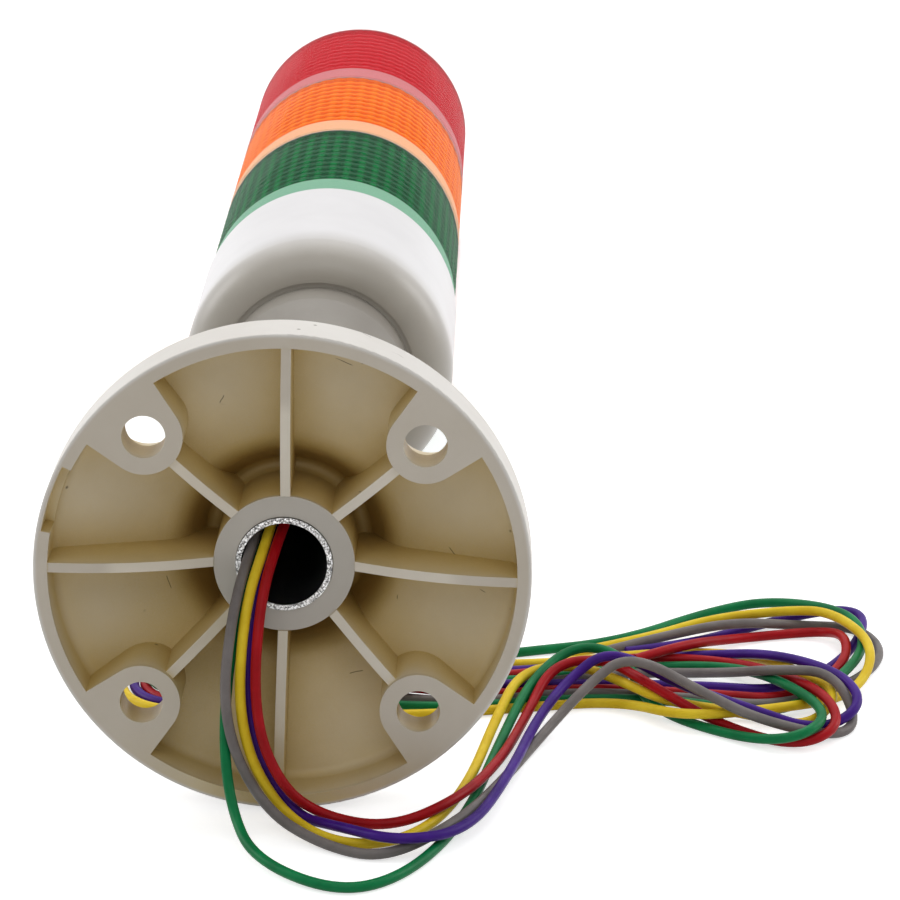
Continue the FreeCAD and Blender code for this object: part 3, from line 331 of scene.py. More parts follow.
def make_round_group():
    """Distance from the axis, angle round it and height along it."""
    group, given, wanted = new_group(
        "round_the_tower",
        [("Position", VECTOR)],
        [("Radius", FLOAT), ("Angle", FLOAT), ("Height", FLOAT)],
    )
    parts = add(group, "ShaderNodeSeparateXYZ", {"Vector": given["Position"]}).outputs
    across = calc(group, "MULTIPLY", parts["X"], parts["X"])
    both = calc(group, "MULTIPLY_ADD", parts["Y"], parts["Y"], across)
    feed(group, calc(group, "SQRT", both), wanted["Radius"])
    feed(group, calc(group, "ARCTAN2", parts["Y"], parts["X"]), wanted["Angle"])
    feed(group, parts["Z"], wanted["Height"])
    return group


ROUND = make_round_group()


def tower_round(tree):
    """The group's three values, for the tower's own position."""
    return use_group(tree, ROUND, Position=tower_position(tree))


print("group", ROUND.name, "has", len(ROUND.nodes), "nodes")

# %% [markdown]
# ## Shared surface effects
#
# Every moulded piece has the same three small faults: a faint orange-peel skin, cloudy patches in its shade,
# and specks of dust with a few hairs. Two groups make them, each used with other values in each material.
# Painting them as images would be simpler to control, but nodes stay sharp at any distance.

# %% Groups for skin and marks
def make_skin_group():
    """Orange peel and cloudy shade of a moulded or drawn surface."""
    group, given, wanted = new_group(
        "moulded_skin",
        [("Position", VECTOR), ("Peel Scale", FLOAT), ("Cloud Scale", FLOAT)],
        [("Peel", FLOAT), ("Cloud", FLOAT)],
    )
    peel = noise(group, given["Position"], given["Peel Scale"], 2.0)
    cloud = noise(group, given["Position"], given["Cloud Scale"], 4.0, 0.6)
    feed(group, peel, wanted["Peel"])
    feed(group, step(group, cloud, 0.3, 0.7), wanted["Cloud"])
    return group


def make_marks_group():
    """Specks of dust and short dark hairs, as two masks."""
    group, given, wanted = new_group(
        "dust_and_hairs",
        [("Position", VECTOR), ("Speck Scale", FLOAT), ("Hair Scale", FLOAT)],
        [("Specks", FLOAT), ("Hairs", FLOAT)],
    )
    place = given["Position"]
    # A speck is a dot in the middle of a cell, and a slow noise says which cells have one.
    cells = add(group, "ShaderNodeTexVoronoi", {"Vector": place, "Scale": given["Speck Scale"]})
    dot = fall(group, cells.outputs["Distance"], 0.03, 0.09)
    chosen = step(group, noise(group, place, 90.0, 1.0), 0.58, 0.66)
    feed(group, calc(group, "MULTIPLY", dot, chosen), wanted["Specks"])
    # A hair is a short stretch of the edge between two larger cells, bent a little by another noise.
    moved = add(group, "ShaderNodeVectorMath", {0: place, 1: (0.004, 0.006, 0.005)},
                operation="MULTIPLY_ADD")
    feed(group, place, moved.inputs[2])
    stretch = calc(group, "MULTIPLY_ADD", noise(group, place, 120.0, 2.0), 0.02, 1.0)
    bent = add(group, "ShaderNodeVectorMath", {0: moved.outputs[0], "Scale": stretch}, operation="SCALE")
    edges = add(group, "ShaderNodeTexVoronoi", {"Vector": bent.outputs[0], "Scale": given["Hair Scale"]},
                feature="DISTANCE_TO_EDGE")
    thin = fall(group, edges.outputs["Distance"], 0.002, 0.007)
    short = step(group, noise(group, place, 170.0, 1.0), 0.68, 0.72)
    feed(group, calc(group, "MULTIPLY", thin, short), wanted["Hairs"])
    return group


SKIN = make_skin_group()
MARKS = make_marks_group()
print("groups", SKIN.name, MARKS.name)

# %% [markdown]
# ## Finishes
#
# Each finish starts from a Principled shader. A finish function fills it, and returns the material. The
# numbers that are the same all over the surface, such as the gloss, go on the shader itself, and only what
# changes over the surface comes from nodes.

# %% Start of a finish
def new_finish(name, **sockets):
    """A material with a Principled shader, and the tree to add nodes to."""
    material = bpy.data.materials.new(name)
    material.use_nodes = True
    tree = material.node_tree
    tree.nodes.clear()
    shader = tree.nodes.new("ShaderNodeBsdfPrincipled")
    output = tree.nodes.new("ShaderNodeOutputMaterial")
    tree.links.new(shader.outputs[0], output.inputs["Surface"])
    for label, value in sockets.items():
        shader.inputs[label.replace("_", " ")].default_value = value
    return material, tree, shader


def bump(tree, shader, height, strength, distance):
    """Turns a height into a small relief."""
    sockets = {"Height": height, "Strength": strength, "Distance": distance}
    relief = add(tree, "ShaderNodeBump", sockets)
    tree.links.new(relief.outputs["Normal"], shader.inputs["Normal"])


def moulded(name, colour, shade, roughness, peel=0.12, **sockets):
    """Moulded plastic: a colour that drifts to a second shade, under orange peel."""
    material, tree, shader = new_finish(name, Roughness=roughness, **sockets)
    skin = use_group(tree, SKIN, Position=object_position(tree), Peel_Scale=900.0, Cloud_Scale=45.0)
    tone = blend(tree, skin["Cloud"], linear(colour), linear(shade))
    feed(tree, tone, shader.inputs["Base Color"])
    bump(tree, shader, skin["Peel"], peel, 0.2 * MM)
    return material


print("finish helpers ready")

# %% [markdown]
# ## Flange plastic
#
# The flange is moulded in a cream plastic that lets a little light in. Light that bounces about in the hollow
# passes through the plastic many times and comes back tan. Real subsurface scattering would show that too,
# but slowly and with noise, so the colour carries it as painted shade that follows how closed-in a point is.
# The tones are lit and shaded copies of the one plastic: painted shade on the front faces, on the recessed
# hub and in the hollow, darker still in its corners, and a lighter lit tone on the ribs and the rim's outer
# side. First come the shades, and the places where one gives way to the next.

# %% Flange shades
# Lit and shaded copies of one plastic: outer and rib are the lit tone, face and hub painted shade, hollow the
# painted tan shade of the hollow.
FLANGE_LIT_AND_SHADED_TONES = {  # each drifts from its first shade to its second
    "outer": ("E0DCD6", "DAD5CE"),
    "face": ("CFC6B8", "C8BEAE"),
    "rib": ("E2DACB", "DBD1BF"),
    "hub_painted_shade": ("BDB7AD", "B6B0A5"),
    "hollow": ("DFC98E", "D4BD7C"),
}
# Painted shade in the closed corners of the hollow.
CORNER_PAINTED_SHADE = "A88A4A"
DUST_BROWN = "54442A"
# Each pair says where a tone begins to give way to the next and where it has.
FACE_TO_RIB = (0.8 * MM, 1.6 * MM)
HUB_EDGE = (15.6 * MM, 16.0 * MM)
HUB_FLOOR = (9.0 * MM, 10.0 * MM)
RIM_EDGE = (54.2 * MM, 55.1 * MM)
DUST_DEPTH = (1.0 * MM, 3.0 * MM)
DUST_INNER = (16.5 * MM, 18.0 * MM)
# Openness runs from 0 in a closed corner to 1 on an open face, measured out to a reach.
OPEN_REACH = 34.0 * MM
OPEN_FACE = (0.25, 0.8)
OPEN_CORNER = (0.02, 0.34)
print("flange shades", sorted(FLANGE_LIT_AND_SHADED_TONES))

# %% [markdown]
# ## Flange finish
#
# The Ambient Occlusion node measures how open a point is. It depends on the shape alone, and stays put when
# the camera moves. The tones are laid over each other like coats of paint: lighter ribs over the shaded
# faces, the painted shade of the hollow, the darker painted shade of its corners, the painted shade of the
# hub, the lit tone of the rim, and real dust last of all.

# %% Flange finish
def make_flange_finish():
    """Cream outside, with painted shade that turns tan inside and grey at the centre, and dust caught in its
    pockets.
    """
    material, tree, shader = new_finish("flange_cream", Roughness=0.42, Specular_IOR_Level=0.4)
    place = object_position(tree)
    skin = use_group(tree, SKIN, Position=place, Peel_Scale=700.0, Cloud_Scale=38.0)
    dirt = use_group(tree, MARKS, Position=place, Speck_Scale=150.0, Hair_Scale=48.0)
    openness = add(tree, "ShaderNodeAmbientOcclusion", {"Distance": OPEN_REACH}, samples=8).outputs["AO"]
    tower = tower_round(tree)
    tones = {part: blend(tree, skin["Cloud"], linear(first), linear(second))
             for part, (first, second) in FLANGE_LIT_AND_SHADED_TONES.items()}
    # Painted light and shade: darker front faces, lighter ribs, tan painted shade where the hollow closes in,
    # darker in its corners, grey painted shade on the recessed hub, and the lit tone on the rim's side.
    tone = blend(tree, step(tree, tower["Height"], *FACE_TO_RIB), tones["face"], tones["rib"])
    tone = blend(tree, step(tree, openness, *OPEN_FACE), tones["hollow"], tone)
    tone = blend(tree, step(tree, openness, *OPEN_CORNER), linear(CORNER_PAINTED_SHADE), tone)
    hub_painted_shade = calc(tree, "MULTIPLY", fall(tree, tower["Radius"], *HUB_EDGE),
               fall(tree, tower["Height"], *HUB_FLOOR))
    tone = blend(tree, hub_painted_shade, tone, tones["hub_painted_shade"])
    tone = blend(tree, step(tree, tower["Radius"], *RIM_EDGE), tone, tones["outer"])
    in_pockets = calc(tree, "MULTIPLY", step(tree, tower["Height"], *DUST_DEPTH),
                      step(tree, tower["Radius"], *DUST_INNER))
    marks = calc(tree, "MULTIPLY", calc(tree, "MAXIMUM", dirt["Specks"], dirt["Hairs"]), in_pockets)
    tone = blend(tree, calc(tree, "MULTIPLY", marks, 0.75), tone, linear(DUST_BROWN))
    feed(tree, tone, shader.inputs["Base Color"])
    bump(tree, shader, skin["Peel"], 0.10, 0.25 * MM)
    return material


flange_plastic = make_flange_finish()
print("finish", flange_plastic.name)

# %% [markdown]
# ## Metals
#
# The pole is drawn steel tube with a zinc coat. Its end was cut with a saw, so the ring that faces us is
# rough and sparkles, while the long side is smooth with faint lines along it. Both come from one finish: the
# height along the tower says which part is the cut end.

# %% Pole and small metal finishes
POLE_FOOT = 7.8 * MM
SAWN_FADE = (POLE_FOOT + 0.1 * MM, POLE_FOOT + 0.5 * MM)
DRAWN_STRETCH = 0.02


def make_pole_finish():
    """Zinc with drawn lines along the tube, and grit on its sawn end."""
    material, tree, shader = new_finish("pole_zinc", Metallic=1.0)
    place = tower_position(tree)
    height = use_group(tree, ROUND, Position=place)["Height"]
    sawn = fall(tree, height, *SAWN_FADE)
    grit = step(tree, noise(tree, place, 2600.0, 3.0, 0.7), 0.34, 0.58)
    along = add(tree, "ShaderNodeMapping", {"Vector": place, "Scale": (1.0, 1.0, DRAWN_STRETCH)})
    lines = noise(tree, along.outputs["Vector"], 1500.0, 2.0)
    drawn_tone = blend(tree, lines, linear("B4B4B3"), linear("D2D2D0"))
    sawn_tone = blend(tree, grit, linear("56565A"), linear("FFFFFF"))
    feed(tree, blend(tree, sawn, drawn_tone, sawn_tone), shader.inputs["Base Color"])
    feed(tree, calc(tree, "MULTIPLY_ADD", sawn, 0.22, 0.26), shader.inputs["Roughness"])
    relief = calc(tree, "MULTIPLY_ADD", lines, 0.12, calc(tree, "MULTIPLY", grit, sawn))
    bump(tree, shader, relief, 0.8, 0.35 * MM)
    return material


def metal(name, light, dark, roughness, scale=600.0):
    """Plain turned or pressed metal with a fine uneven shine."""
    material, tree, shader = new_finish(name, Metallic=1.0)
    grain = noise(tree, object_position(tree), scale, 3.0)
    feed(tree, blend(tree, grain, linear(light), linear(dark)), shader.inputs["Base Color"])
    feed(tree, calc(tree, "MULTIPLY_ADD", grain, 0.15, roughness), shader.inputs["Roughness"])
    bump(tree, shader, grain, 0.1, 0.1 * MM)
    return material


pole_metal = make_pole_finish()
screw_steel = metal("screw_steel", "5A5A5C", "2F2F31", 0.35)
rod_zinc = metal("rod_zinc", "C9C9CC", "A7A7AB", 0.3)
print("metals", pole_metal.name, screw_steel.name, rod_zinc.name)

# %% [markdown]
# ## Housing and inner plastics
#
# The housing is the same family of plastic as the flange, but paler and smoother. Its rounded foot turns away
# from the light and lies in the flange's shade, so painted shade in a warm grey darkens its colour towards
# the foot. The pieces inside the tower are seen only through the lenses or not at all, and still get a finish
# of their own, because the model may be opened up one day.

# %% Plastics and boards
HOUSING_SHADE_SPAN = (158.0 * MM, 181.0 * MM)


def make_housing_finish():
    """Pale plastic with painted shade in a warm grey round its foot."""
    material, tree, shader = new_finish("housing_plastic", Roughness=0.34, Specular_IOR_Level=0.4)
    skin = use_group(tree, SKIN, Position=object_position(tree), Peel_Scale=900.0, Cloud_Scale=45.0)
    pale = blend(tree, skin["Cloud"], linear("E4E2E3"), linear("DFDDDE"))
    # Painted shade: the foot turns away from the light and lies in the flange's shade.
    foot_painted_shade = blend(tree, skin["Cloud"], linear("ADA79C"), linear("A59F94"))
    above_foot = step(tree, tower_round(tree)["Height"], *HOUSING_SHADE_SPAN)
    feed(tree, blend(tree, above_foot, foot_painted_shade, pale), shader.inputs["Base Color"])
    bump(tree, shader, skin["Peel"], 0.06, 0.2 * MM)
    return material


def make_board_finish():
    """Green solder resist with pale tracks."""
    material, tree, shader = new_finish("board_resist", Roughness=0.3)
    tracks = add(tree, "ShaderNodeTexBrick", {
        "Vector": tower_position(tree), "Scale": 120.0, "Mortar Size": 0.03,
        "Color1": linear("1F6A3E"), "Color2": linear("1B5F38"), "Mortar": linear("4E9A63"),
    })
    feed(tree, tracks.outputs["Color"], shader.inputs["Base Color"])
    bump(tree, shader, tracks.outputs["Fac"], 0.2, 0.1 * MM)
    return material


housing_plastic = make_housing_finish()
# The socket's grey is partly its own colour and partly painted shade, as it lies in the flange's shade.
socket_grey_and_painted_shade = moulded("socket_grey_and_painted_shade", "8F8A81", "868078", 0.45, peel=0.08)
nylon = moulded("carrier_nylon", "ECE8DC", "E0DBCC", 0.45)
seal_rubber = moulded("seal_rubber", "8E8A86", "827E7A", 0.6, peel=0.3)
black_resin = moulded("black_resin", "232326", "19191B", 0.5, peel=0.25)
terminal_green = moulded("terminal_green", "2F8A4C", "287A43", 0.4)
lamp_resin = moulded("lamp_resin", "F3E9B4", "E9DC96", 0.3)
board_resist = make_board_finish()
print("plastics from", housing_plastic.name, "to", board_resist.name)

# %% [markdown]
# ## Dress the CAD pieces
#
# A CAD piece keeps its shape and its place, and only gets a material slot. A list of finishes with the pieces
# that wear them is easier to check than one line for each piece.

# %% Dress
COLOURS = ("green", "amber", "red")


def per_tier(stem):
    """The three nodes of one kind."""
    return [f"{stem}_{colour}" for colour in COLOURS]


WORN_BY = [
    (flange_plastic, ["base_flange"]),
    (pole_metal, ["pole"]),
    (screw_steel, ["flange_set_screws", "socket_lock_screws"]),
    (rod_zinc, ["tie_rods", "tie_nuts", "pole_nut"]),
    (housing_plastic, ["body_housing"]),
    (socket_grey_and_painted_shade, ["pole_socket"]),
    (seal_rubber, ["pole_grommet", *per_tier("seal")]),
    (nylon, [*per_tier("led_carrier"), *per_tier("tier_ring")]),
    (black_resin, ["sounder", "driver_chip"]),
    (terminal_green, ["terminal_block"]),
    (lamp_resin, per_tier("leds")),
    (board_resist, ["driver_board", *per_tier("led_boards")]),
]
for finish, nodes in WORN_BY:
    for name in nodes:
        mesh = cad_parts[name].data
        mesh.materials.clear()
        mesh.materials.append(finish)
print("dressed", sum(len(nodes) for _, nodes in WORN_BY), "of", len(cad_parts), "CAD nodes")

# %% [markdown]
# ## Turned shells
#
# A lens is a tube with a smooth outside. Inside it has rings of small prisms crossed by upright flutes, which
# break the light up, and we see them through the coloured wall. The CAD lens holds all of it in one solid.
# Here it is three pieces: a clear outer shell, a fluted core under it, and a plain ring at its foot, so that
# each can have its own finish. Shell and ring are turned from a closed profile, which makes a real wall.

# %% Turn a profile
ON_AXIS = 1e-6
SHARP_EDGE = 35.0


def finish_piece(name, shape, material, sharp_edge=SHARP_EDGE):
    """Lays a mesh made in the tower's frame down with the tower, and makes it an object."""
    shape.transform(LAY)
    mesh = bpy.data.meshes.new(name)
    shape.to_mesh(mesh)
    shape.free()
    mesh.materials.append(material)
    mesh.shade_smooth()
    mesh.set_sharp_from_angle(angle=math.radians(sharp_edge))
    piece = bpy.data.objects.new(name, mesh)
    scene.collection.objects.link(piece)
    return piece


def turned_piece(name, profile, material, steps=160):
    """A closed ring or cap turned from a closed profile of radius and height, in the tower's frame."""
    shape = bmesh.new()
    rows = []
    for k in range(steps):
        angle = 2 * math.pi * k / steps
        cos, sin = math.cos(angle), math.sin(angle)
        rows.append([shape.verts.new((r * cos, r * sin, z)) for r, z in profile])
    for k in range(steps):
        here, ahead = rows[k], rows[(k + 1) % steps]
        for i in range(len(profile)):
            j = (i + 1) % len(profile)
            if profile[i][0] < ON_AXIS and profile[j][0] < ON_AXIS:
                continue
            shape.faces.new((here[i], here[j], ahead[j], ahead[i]))
    bmesh.ops.remove_doubles(shape, verts=shape.verts, dist=ON_AXIS)
    bmesh.ops.recalc_face_normals(shape, faces=shape.faces)
    return finish_piece(name, shape, material)


def rounded(radius, top, corner, steps=6):
    """Points of a quarter round at the outer upper edge of a profile, from the side to the top."""
    points = []
    for k in range(steps + 1):
        turn = math.pi / 2 * k / steps
        points.append((radius - corner * (1 - math.cos(turn)), top - corner * (1 - math.sin(turn))))
    return points


print("a quarter round has", len(rounded(HEAD_RADIUS, 0.0, MM)), "points")

# %% [markdown]
# ## Lens colours
#
# A lens is moulded in dyed clear plastic, and its prisms give back most of the light. Glass-like shading with
# real bending of light could show that, but it needs many samples to lose its noise. So the shell is nearly
# clear with a little gloss, and the colour sits on the core, with the prisms' light and shade painted on it
# and a faint painted glow for the light that it passes on. A white ring stands behind the foot of each lens.
# What is seen through a coloured wall takes on its colour, so the plain ring there has a pale tint of its
# tier.

# %% Lens colours
# Shell, core and band are the lens's own colours; dark, light and line are the painted shade and painted
# highlights of its prisms.
LENS_TONES = {
    "green": {"shell": "0E5C34", "core": "074A28", "dark": "03230F", "light": "128E46", "line": "306648",
              "band": "9CD2B4"},
    "amber": {"shell": "FF7C1C", "core": "EE5C06", "dark": "CC4802", "light": "F97E18", "line": "FA8C2E",
              "band": "FFD2A8"},
    "red": {"shell": "C82430", "core": "C40E1C", "dark": "A00816", "light": "D01E2A", "line": "D03540",
            "band": "E4969A"},
}
PRISM_RINGS = 11
FLUTES = 54
GLOW = 0.12
BAND_HEIGHT = 14.0 * MM
PRISM_PITCH = (TIER_PITCH - BAND_HEIGHT) / PRISM_RINGS
# Shares of one prism ring, from its foot up: the groove's painted shade, then a painted highlight line that
# rises and falls.
GROOVE_PAINTED_SHADE = (0.0, 0.35)
LINE_RISE = (0.66, 0.76)
LINE_FALL = (0.88, 1.0)
CREST = (0.55, 1.0)
JOINT_SHADE = 9.0 * MM
print("a prism ring is", round(PRISM_PITCH / MM, 2), "mm high")

# %% [markdown]
# ## Lens finishes
#
# The core's finish repeats with its shape: the same count of rings and flutes puts painted shade in the
# grooves and painted highlights on the crests and along each ring, and painted shade lies under each joint.
# Reading the shape's own curvature could do it too, but needs a finer mesh.

# %% Lens finishes
def make_shell_finish(colour, tones):
    """Polished coloured acrylic with a few faint rubs."""
    material, tree, shader = new_finish(f"lens_shell_{colour}", Alpha=0.08, Specular_IOR_Level=0.1)
    skin = use_group(tree, SKIN, Position=object_position(tree), Peel_Scale=120.0, Cloud_Scale=60.0)
    tone = blend(tree, skin["Cloud"], linear(tones["shell"]), linear(tones["core"]))
    feed(tree, tone, shader.inputs["Base Color"])
    feed(tree, calc(tree, "MULTIPLY_ADD", skin["Cloud"], 0.06, 0.10), shader.inputs["Roughness"])
    bump(tree, shader, skin["Peel"], 0.05, 0.1 * MM)
    return material


def make_core_finish(colour, tones, floor):
    """Prisms: painted shade in the grooves between rings and under each joint, painted highlights on the
    crest of each flute and along each ring.
    """
    material, tree, shader = new_finish(f"lens_core_{colour}", Roughness=0.5, Specular_IOR_Level=0.0)
    place = tower_position(tree)
    tower = use_group(tree, ROUND, Position=place)
    rings = calc(tree, "DIVIDE", calc(tree, "SUBTRACT", tower["Height"], floor + BAND_HEIGHT), PRISM_PITCH)
    phase = calc(tree, "FRACT", rings)
    groove_painted_shade = fall(tree, phase, *GROOVE_PAINTED_SHADE)
    line = calc(tree, "MULTIPLY", step(tree, phase, *LINE_RISE), fall(tree, phase, *LINE_FALL))
    flute = calc(tree, "SINE", calc(tree, "MULTIPLY", tower["Angle"], FLUTES / 2))
    crest = step(tree, calc(tree, "ABSOLUTE", flute), *CREST)
    drift = calc(tree, "MULTIPLY_ADD", noise(tree, place, 55.0, 2.0), 0.9, 0.25)
    crest_painted_highlight = calc(tree, "MULTIPLY", crest, drift, clamp=True)
    joint = floor + TIER_PITCH
    joint_painted_shade = step(tree, tower["Height"], joint - JOINT_SHADE, joint)
    # Painted highlights on the flute crests, painted shade in the ring grooves, a painted highlight line on
    # each ring and painted shade under each joint.
    tone = blend(tree, crest_painted_highlight, linear(tones["core"]), linear(tones["light"]))
    tone = blend(tree, calc(tree, "MULTIPLY", groove_painted_shade, 0.9), tone, linear(tones["dark"]))
    tone = blend(tree, calc(tree, "MULTIPLY", line, 0.9), tone, linear(tones["line"]))
    tone = blend(tree, calc(tree, "MULTIPLY", joint_painted_shade, 0.6), tone, linear(tones["dark"]))
    feed(tree, tone, shader.inputs["Base Color"])
    # A faint painted glow, for the light that the core passes on.
    feed(tree, tone, shader.inputs["Emission Color"])
    shader.inputs["Emission Strength"].default_value = GLOW
    return material


def make_band_finish(colour, tones):
    """The foot of a lens, in the tint that its wall gives the white ring behind it."""
    return moulded(f"tier_band_{colour}", tones["band"], tones["band"], 0.5, peel=0.05,
                   Specular_IOR_Level=0.0)


print("lens finishes for", sorted(LENS_TONES))

# %% [markdown]
# ## The fluted core
#
# The core's shape follows a rule: rings repeat along the height and flutes repeat round the axis. So Geometry
# Nodes make it from a flat grid. One way of the grid becomes the angle and the other the height, and the
# radius dips in a sawtooth for each ring and in a scallop for each flute. A modelled single prism copied
# hundreds of times would do as well, but would leave hundreds of seams to close.

# %% Core tree
COLUMNS_A_FLUTE = 4.0
ROWS_A_RING = 5.0
FLUTE_SHARE = 0.45
RING_SHARE = 1.0 - FLUTE_SHARE
OFF_THE_SEAM = 0.0001  # keeps the first row of a ring on the right side of its step
WELD = 0.00001


def make_core_tree():
    """The tree: a grid, bent round the axis, welded, and given its material."""
    tree = bpy.data.node_groups.new("prism_core", "GeometryNodeTree")
    tree.interface.new_socket("Geometry", in_out="OUTPUT", socket_type="NodeSocketGeometry")
    tree.interface.new_socket("Geometry", in_out="INPUT", socket_type="NodeSocketGeometry")
    named = [("Radius", FLOAT), ("Depth", FLOAT), ("Floor", FLOAT), ("Height", FLOAT),
             ("Rings", "NodeSocketInt"), ("Flutes", "NodeSocketInt"), ("Material", "NodeSocketMaterial")]
    for label, kind in named:
        tree.interface.new_socket(label, in_out="INPUT", socket_type=kind)
    given = tree.nodes.new("NodeGroupInput").outputs
    leave = tree.nodes.new("NodeGroupOutput").inputs
    columns = calc(tree, "MULTIPLY_ADD", given["Flutes"], COLUMNS_A_FLUTE, 1.0)
    rows = calc(tree, "MULTIPLY_ADD", given["Rings"], ROWS_A_RING, 1.0)
    grid = add(tree, "GeometryNodeMeshGrid", {"Size X": 1.0, "Size Y": 1.0,
                                              "Vertices X": columns, "Vertices Y": rows})
    place = add(tree, "GeometryNodeInputPosition").outputs[0]
    spot = add(tree, "ShaderNodeSeparateXYZ", {"Vector": place}).outputs
    around = calc(tree, "MULTIPLY", calc(tree, "ADD", spot["X"], 0.5), 2 * math.pi)
    along = calc(tree, "ADD", spot["Y"], 0.5)
    phase = calc(tree, "FRACT", calc(tree, "MULTIPLY_ADD", along, given["Rings"], OFF_THE_SEAM))
    half_turns = calc(tree, "MULTIPLY", around, calc(tree, "DIVIDE", given["Flutes"], 2.0))
    scallop = calc(tree, "ABSOLUTE", calc(tree, "SINE", half_turns))
    dip = calc(tree, "MULTIPLY_ADD", calc(tree, "SUBTRACT", 1.0, scallop), FLUTE_SHARE,
               calc(tree, "MULTIPLY", phase, RING_SHARE))
    radius = calc(tree, "SUBTRACT", given["Radius"], calc(tree, "MULTIPLY", dip, given["Depth"]))
    target = add(tree, "ShaderNodeCombineXYZ", {
        "X": calc(tree, "MULTIPLY", calc(tree, "COSINE", around), radius),
        "Y": calc(tree, "MULTIPLY", calc(tree, "SINE", around), radius),
        "Z": calc(tree, "MULTIPLY_ADD", along, given["Height"], given["Floor"]),
    })
    bent = add(tree, "GeometryNodeSetPosition", {"Geometry": grid.outputs["Mesh"],
                                                 "Position": target.outputs[0]})
    closed = add(tree, "GeometryNodeMergeByDistance", {"Geometry": bent.outputs[0], "Distance": WELD})
    real = add(tree, "GeometryNodeRealizeInstances", {"Geometry": closed.outputs[0]})
    coloured = add(tree, "GeometryNodeSetMaterial", {"Geometry": real.outputs[0],
                                                     "Material": given["Material"]})
    feed(tree, coloured.outputs[0], leave["Geometry"])
    return tree


CORE_TREE = make_core_tree()
print("tree", CORE_TREE.name, "has", len(CORE_TREE.nodes), "nodes")

# %% [markdown]
# ## From a tree to a mesh
#
# The tree runs as a modifier on an empty mesh. Its result is then kept as a plain mesh, and the modifier is
# removed, so that nothing is left to change later. The result is a skin without thickness, and gets its wall
# in mesh code.

# %% Run a tree
def grow(name, tree, values):
    """Runs a tree on an empty mesh and keeps the result as a mesh in the tower's frame."""
    empty = bpy.data.meshes.new(f"{name}_carrier")
    carrier = bpy.data.objects.new(f"{name}_carrier", empty)
    scene.collection.objects.link(carrier)
    modifier = carrier.modifiers.new("grow", "NODES")
    modifier.node_group = tree
    sockets = {item.name: item.identifier for item in tree.interface.items_tree
               if item.item_type == "SOCKET" and item.in_out == "INPUT"}
    for label, value in values.items():
        modifier[sockets[label]] = value
    evaluated = carrier.evaluated_get(bpy.context.evaluated_depsgraph_get())
    mesh = bpy.data.meshes.new_from_object(evaluated)
    carrier.modifiers.remove(modifier)
    bpy.data.objects.remove(carrier)
    shape = bmesh.new()
    shape.from_mesh(mesh)
    bpy.data.meshes.remove(mesh)
    bpy.data.meshes.remove(empty)
    return shape


def thicken(shape, wall):
    """Gives an open tube a wall towards the axis, and closes its two ends."""
    outer = list(shape.faces)
    bmesh.ops.recalc_face_normals(shape, faces=outer)
    if sum(face.normal.dot(Vector((*face.calc_center_median().xy, 0))) for face in outer) < 0:
        bmesh.ops.reverse_faces(shape, faces=outer)
    bmesh.ops.solidify(shape, geom=outer, thickness=wall)
    bmesh.ops.recalc_face_normals(shape, faces=shape.faces)


print("the tree's inputs", [item.name for item in CORE_TREE.interface.items_tree if item.in_out == "INPUT"])

# %% [markdown]
# ## The pieces of a lens
#
# Each lens has the same three pieces: a shell, and inside it a plain ring at the foot with the fluted core
# above. A small gap parts them from the shell, because faces that lie in one place flicker. The top tier's
# shell is closed by a cap with a rounded edge.

# %% Lens pieces
SHELL_WALL = 0.5 * MM
SHELL_GAP = 0.1 * MM
CORE_RADIUS = HEAD_RADIUS - SHELL_WALL - SHELL_GAP
FOOT_WALL = 0.8 * MM
CORE_DEPTH = 0.55 * MM
CORE_WALL = 0.35 * MM
CORE_SHARP_EDGE = 60.0
JOINT = 0.3 * MM
CAP = 4.0 * MM
CAP_ROUND = 3.0 * MM
EDGE = 0.35 * MM


def make_shell(colour, tones, floor):
    """The clear wall of a lens, and on the top tier its cap."""
    inner = HEAD_RADIUS - SHELL_WALL
    low = floor + JOINT
    foot_edge = [(r, 2 * low - z) for r, z in rounded(HEAD_RADIUS, low, EDGE)]
    profile = [(inner, low), *reversed(foot_edge)]
    if colour == COLOURS[-1]:
        top = floor + TIER_PITCH + CAP
        under = top - CAP / 2
        profile += rounded(HEAD_RADIUS, top, CAP_ROUND, steps=10)
        profile += [(0.0, top), (0.0, under), (inner, under)]
    else:
        top = floor + TIER_PITCH - JOINT
        profile += [*rounded(HEAD_RADIUS, top, EDGE), (inner, top)]
    return turned_piece(f"lens_shell_{colour}", profile, make_shell_finish(colour, tones))


def make_foot_ring(colour, tones, floor):
    """The plain ring at the foot of a lens, where its wall has no prisms."""
    inner = CORE_RADIUS - FOOT_WALL
    low, top = floor + JOINT, floor + BAND_HEIGHT
    profile = [(inner, low), (CORE_RADIUS, low), (CORE_RADIUS, top), (inner, top)]
    return turned_piece(f"lens_foot_{colour}", profile, make_band_finish(colour, tones))


def make_core(colour, tones, floor):
    """The fluted core, from the foot ring to the next joint."""
    low, top = floor + BAND_HEIGHT, floor + TIER_PITCH - JOINT
    finish = make_core_finish(colour, tones, floor)
    shape = grow(f"lens_core_{colour}", CORE_TREE, {
        "Radius": CORE_RADIUS, "Depth": CORE_DEPTH, "Floor": low, "Height": top - low,
        "Rings": PRISM_RINGS, "Flutes": FLUTES, "Material": finish,
    })
    thicken(shape, CORE_WALL)
    return finish_piece(f"lens_core_{colour}", shape, finish, CORE_SHARP_EDGE)


print("core radius", round(CORE_RADIUS / MM, 2), "mm, wall", round(CORE_WALL / MM, 2), "mm")

# %% [markdown]
# ## The three tiers
#
# Copying one tier twice would be quicker, but the top one differs and each has its own colours, so the same
# functions make all three. The shell stands in for the CAD lens, and all three pieces ride on the one body.

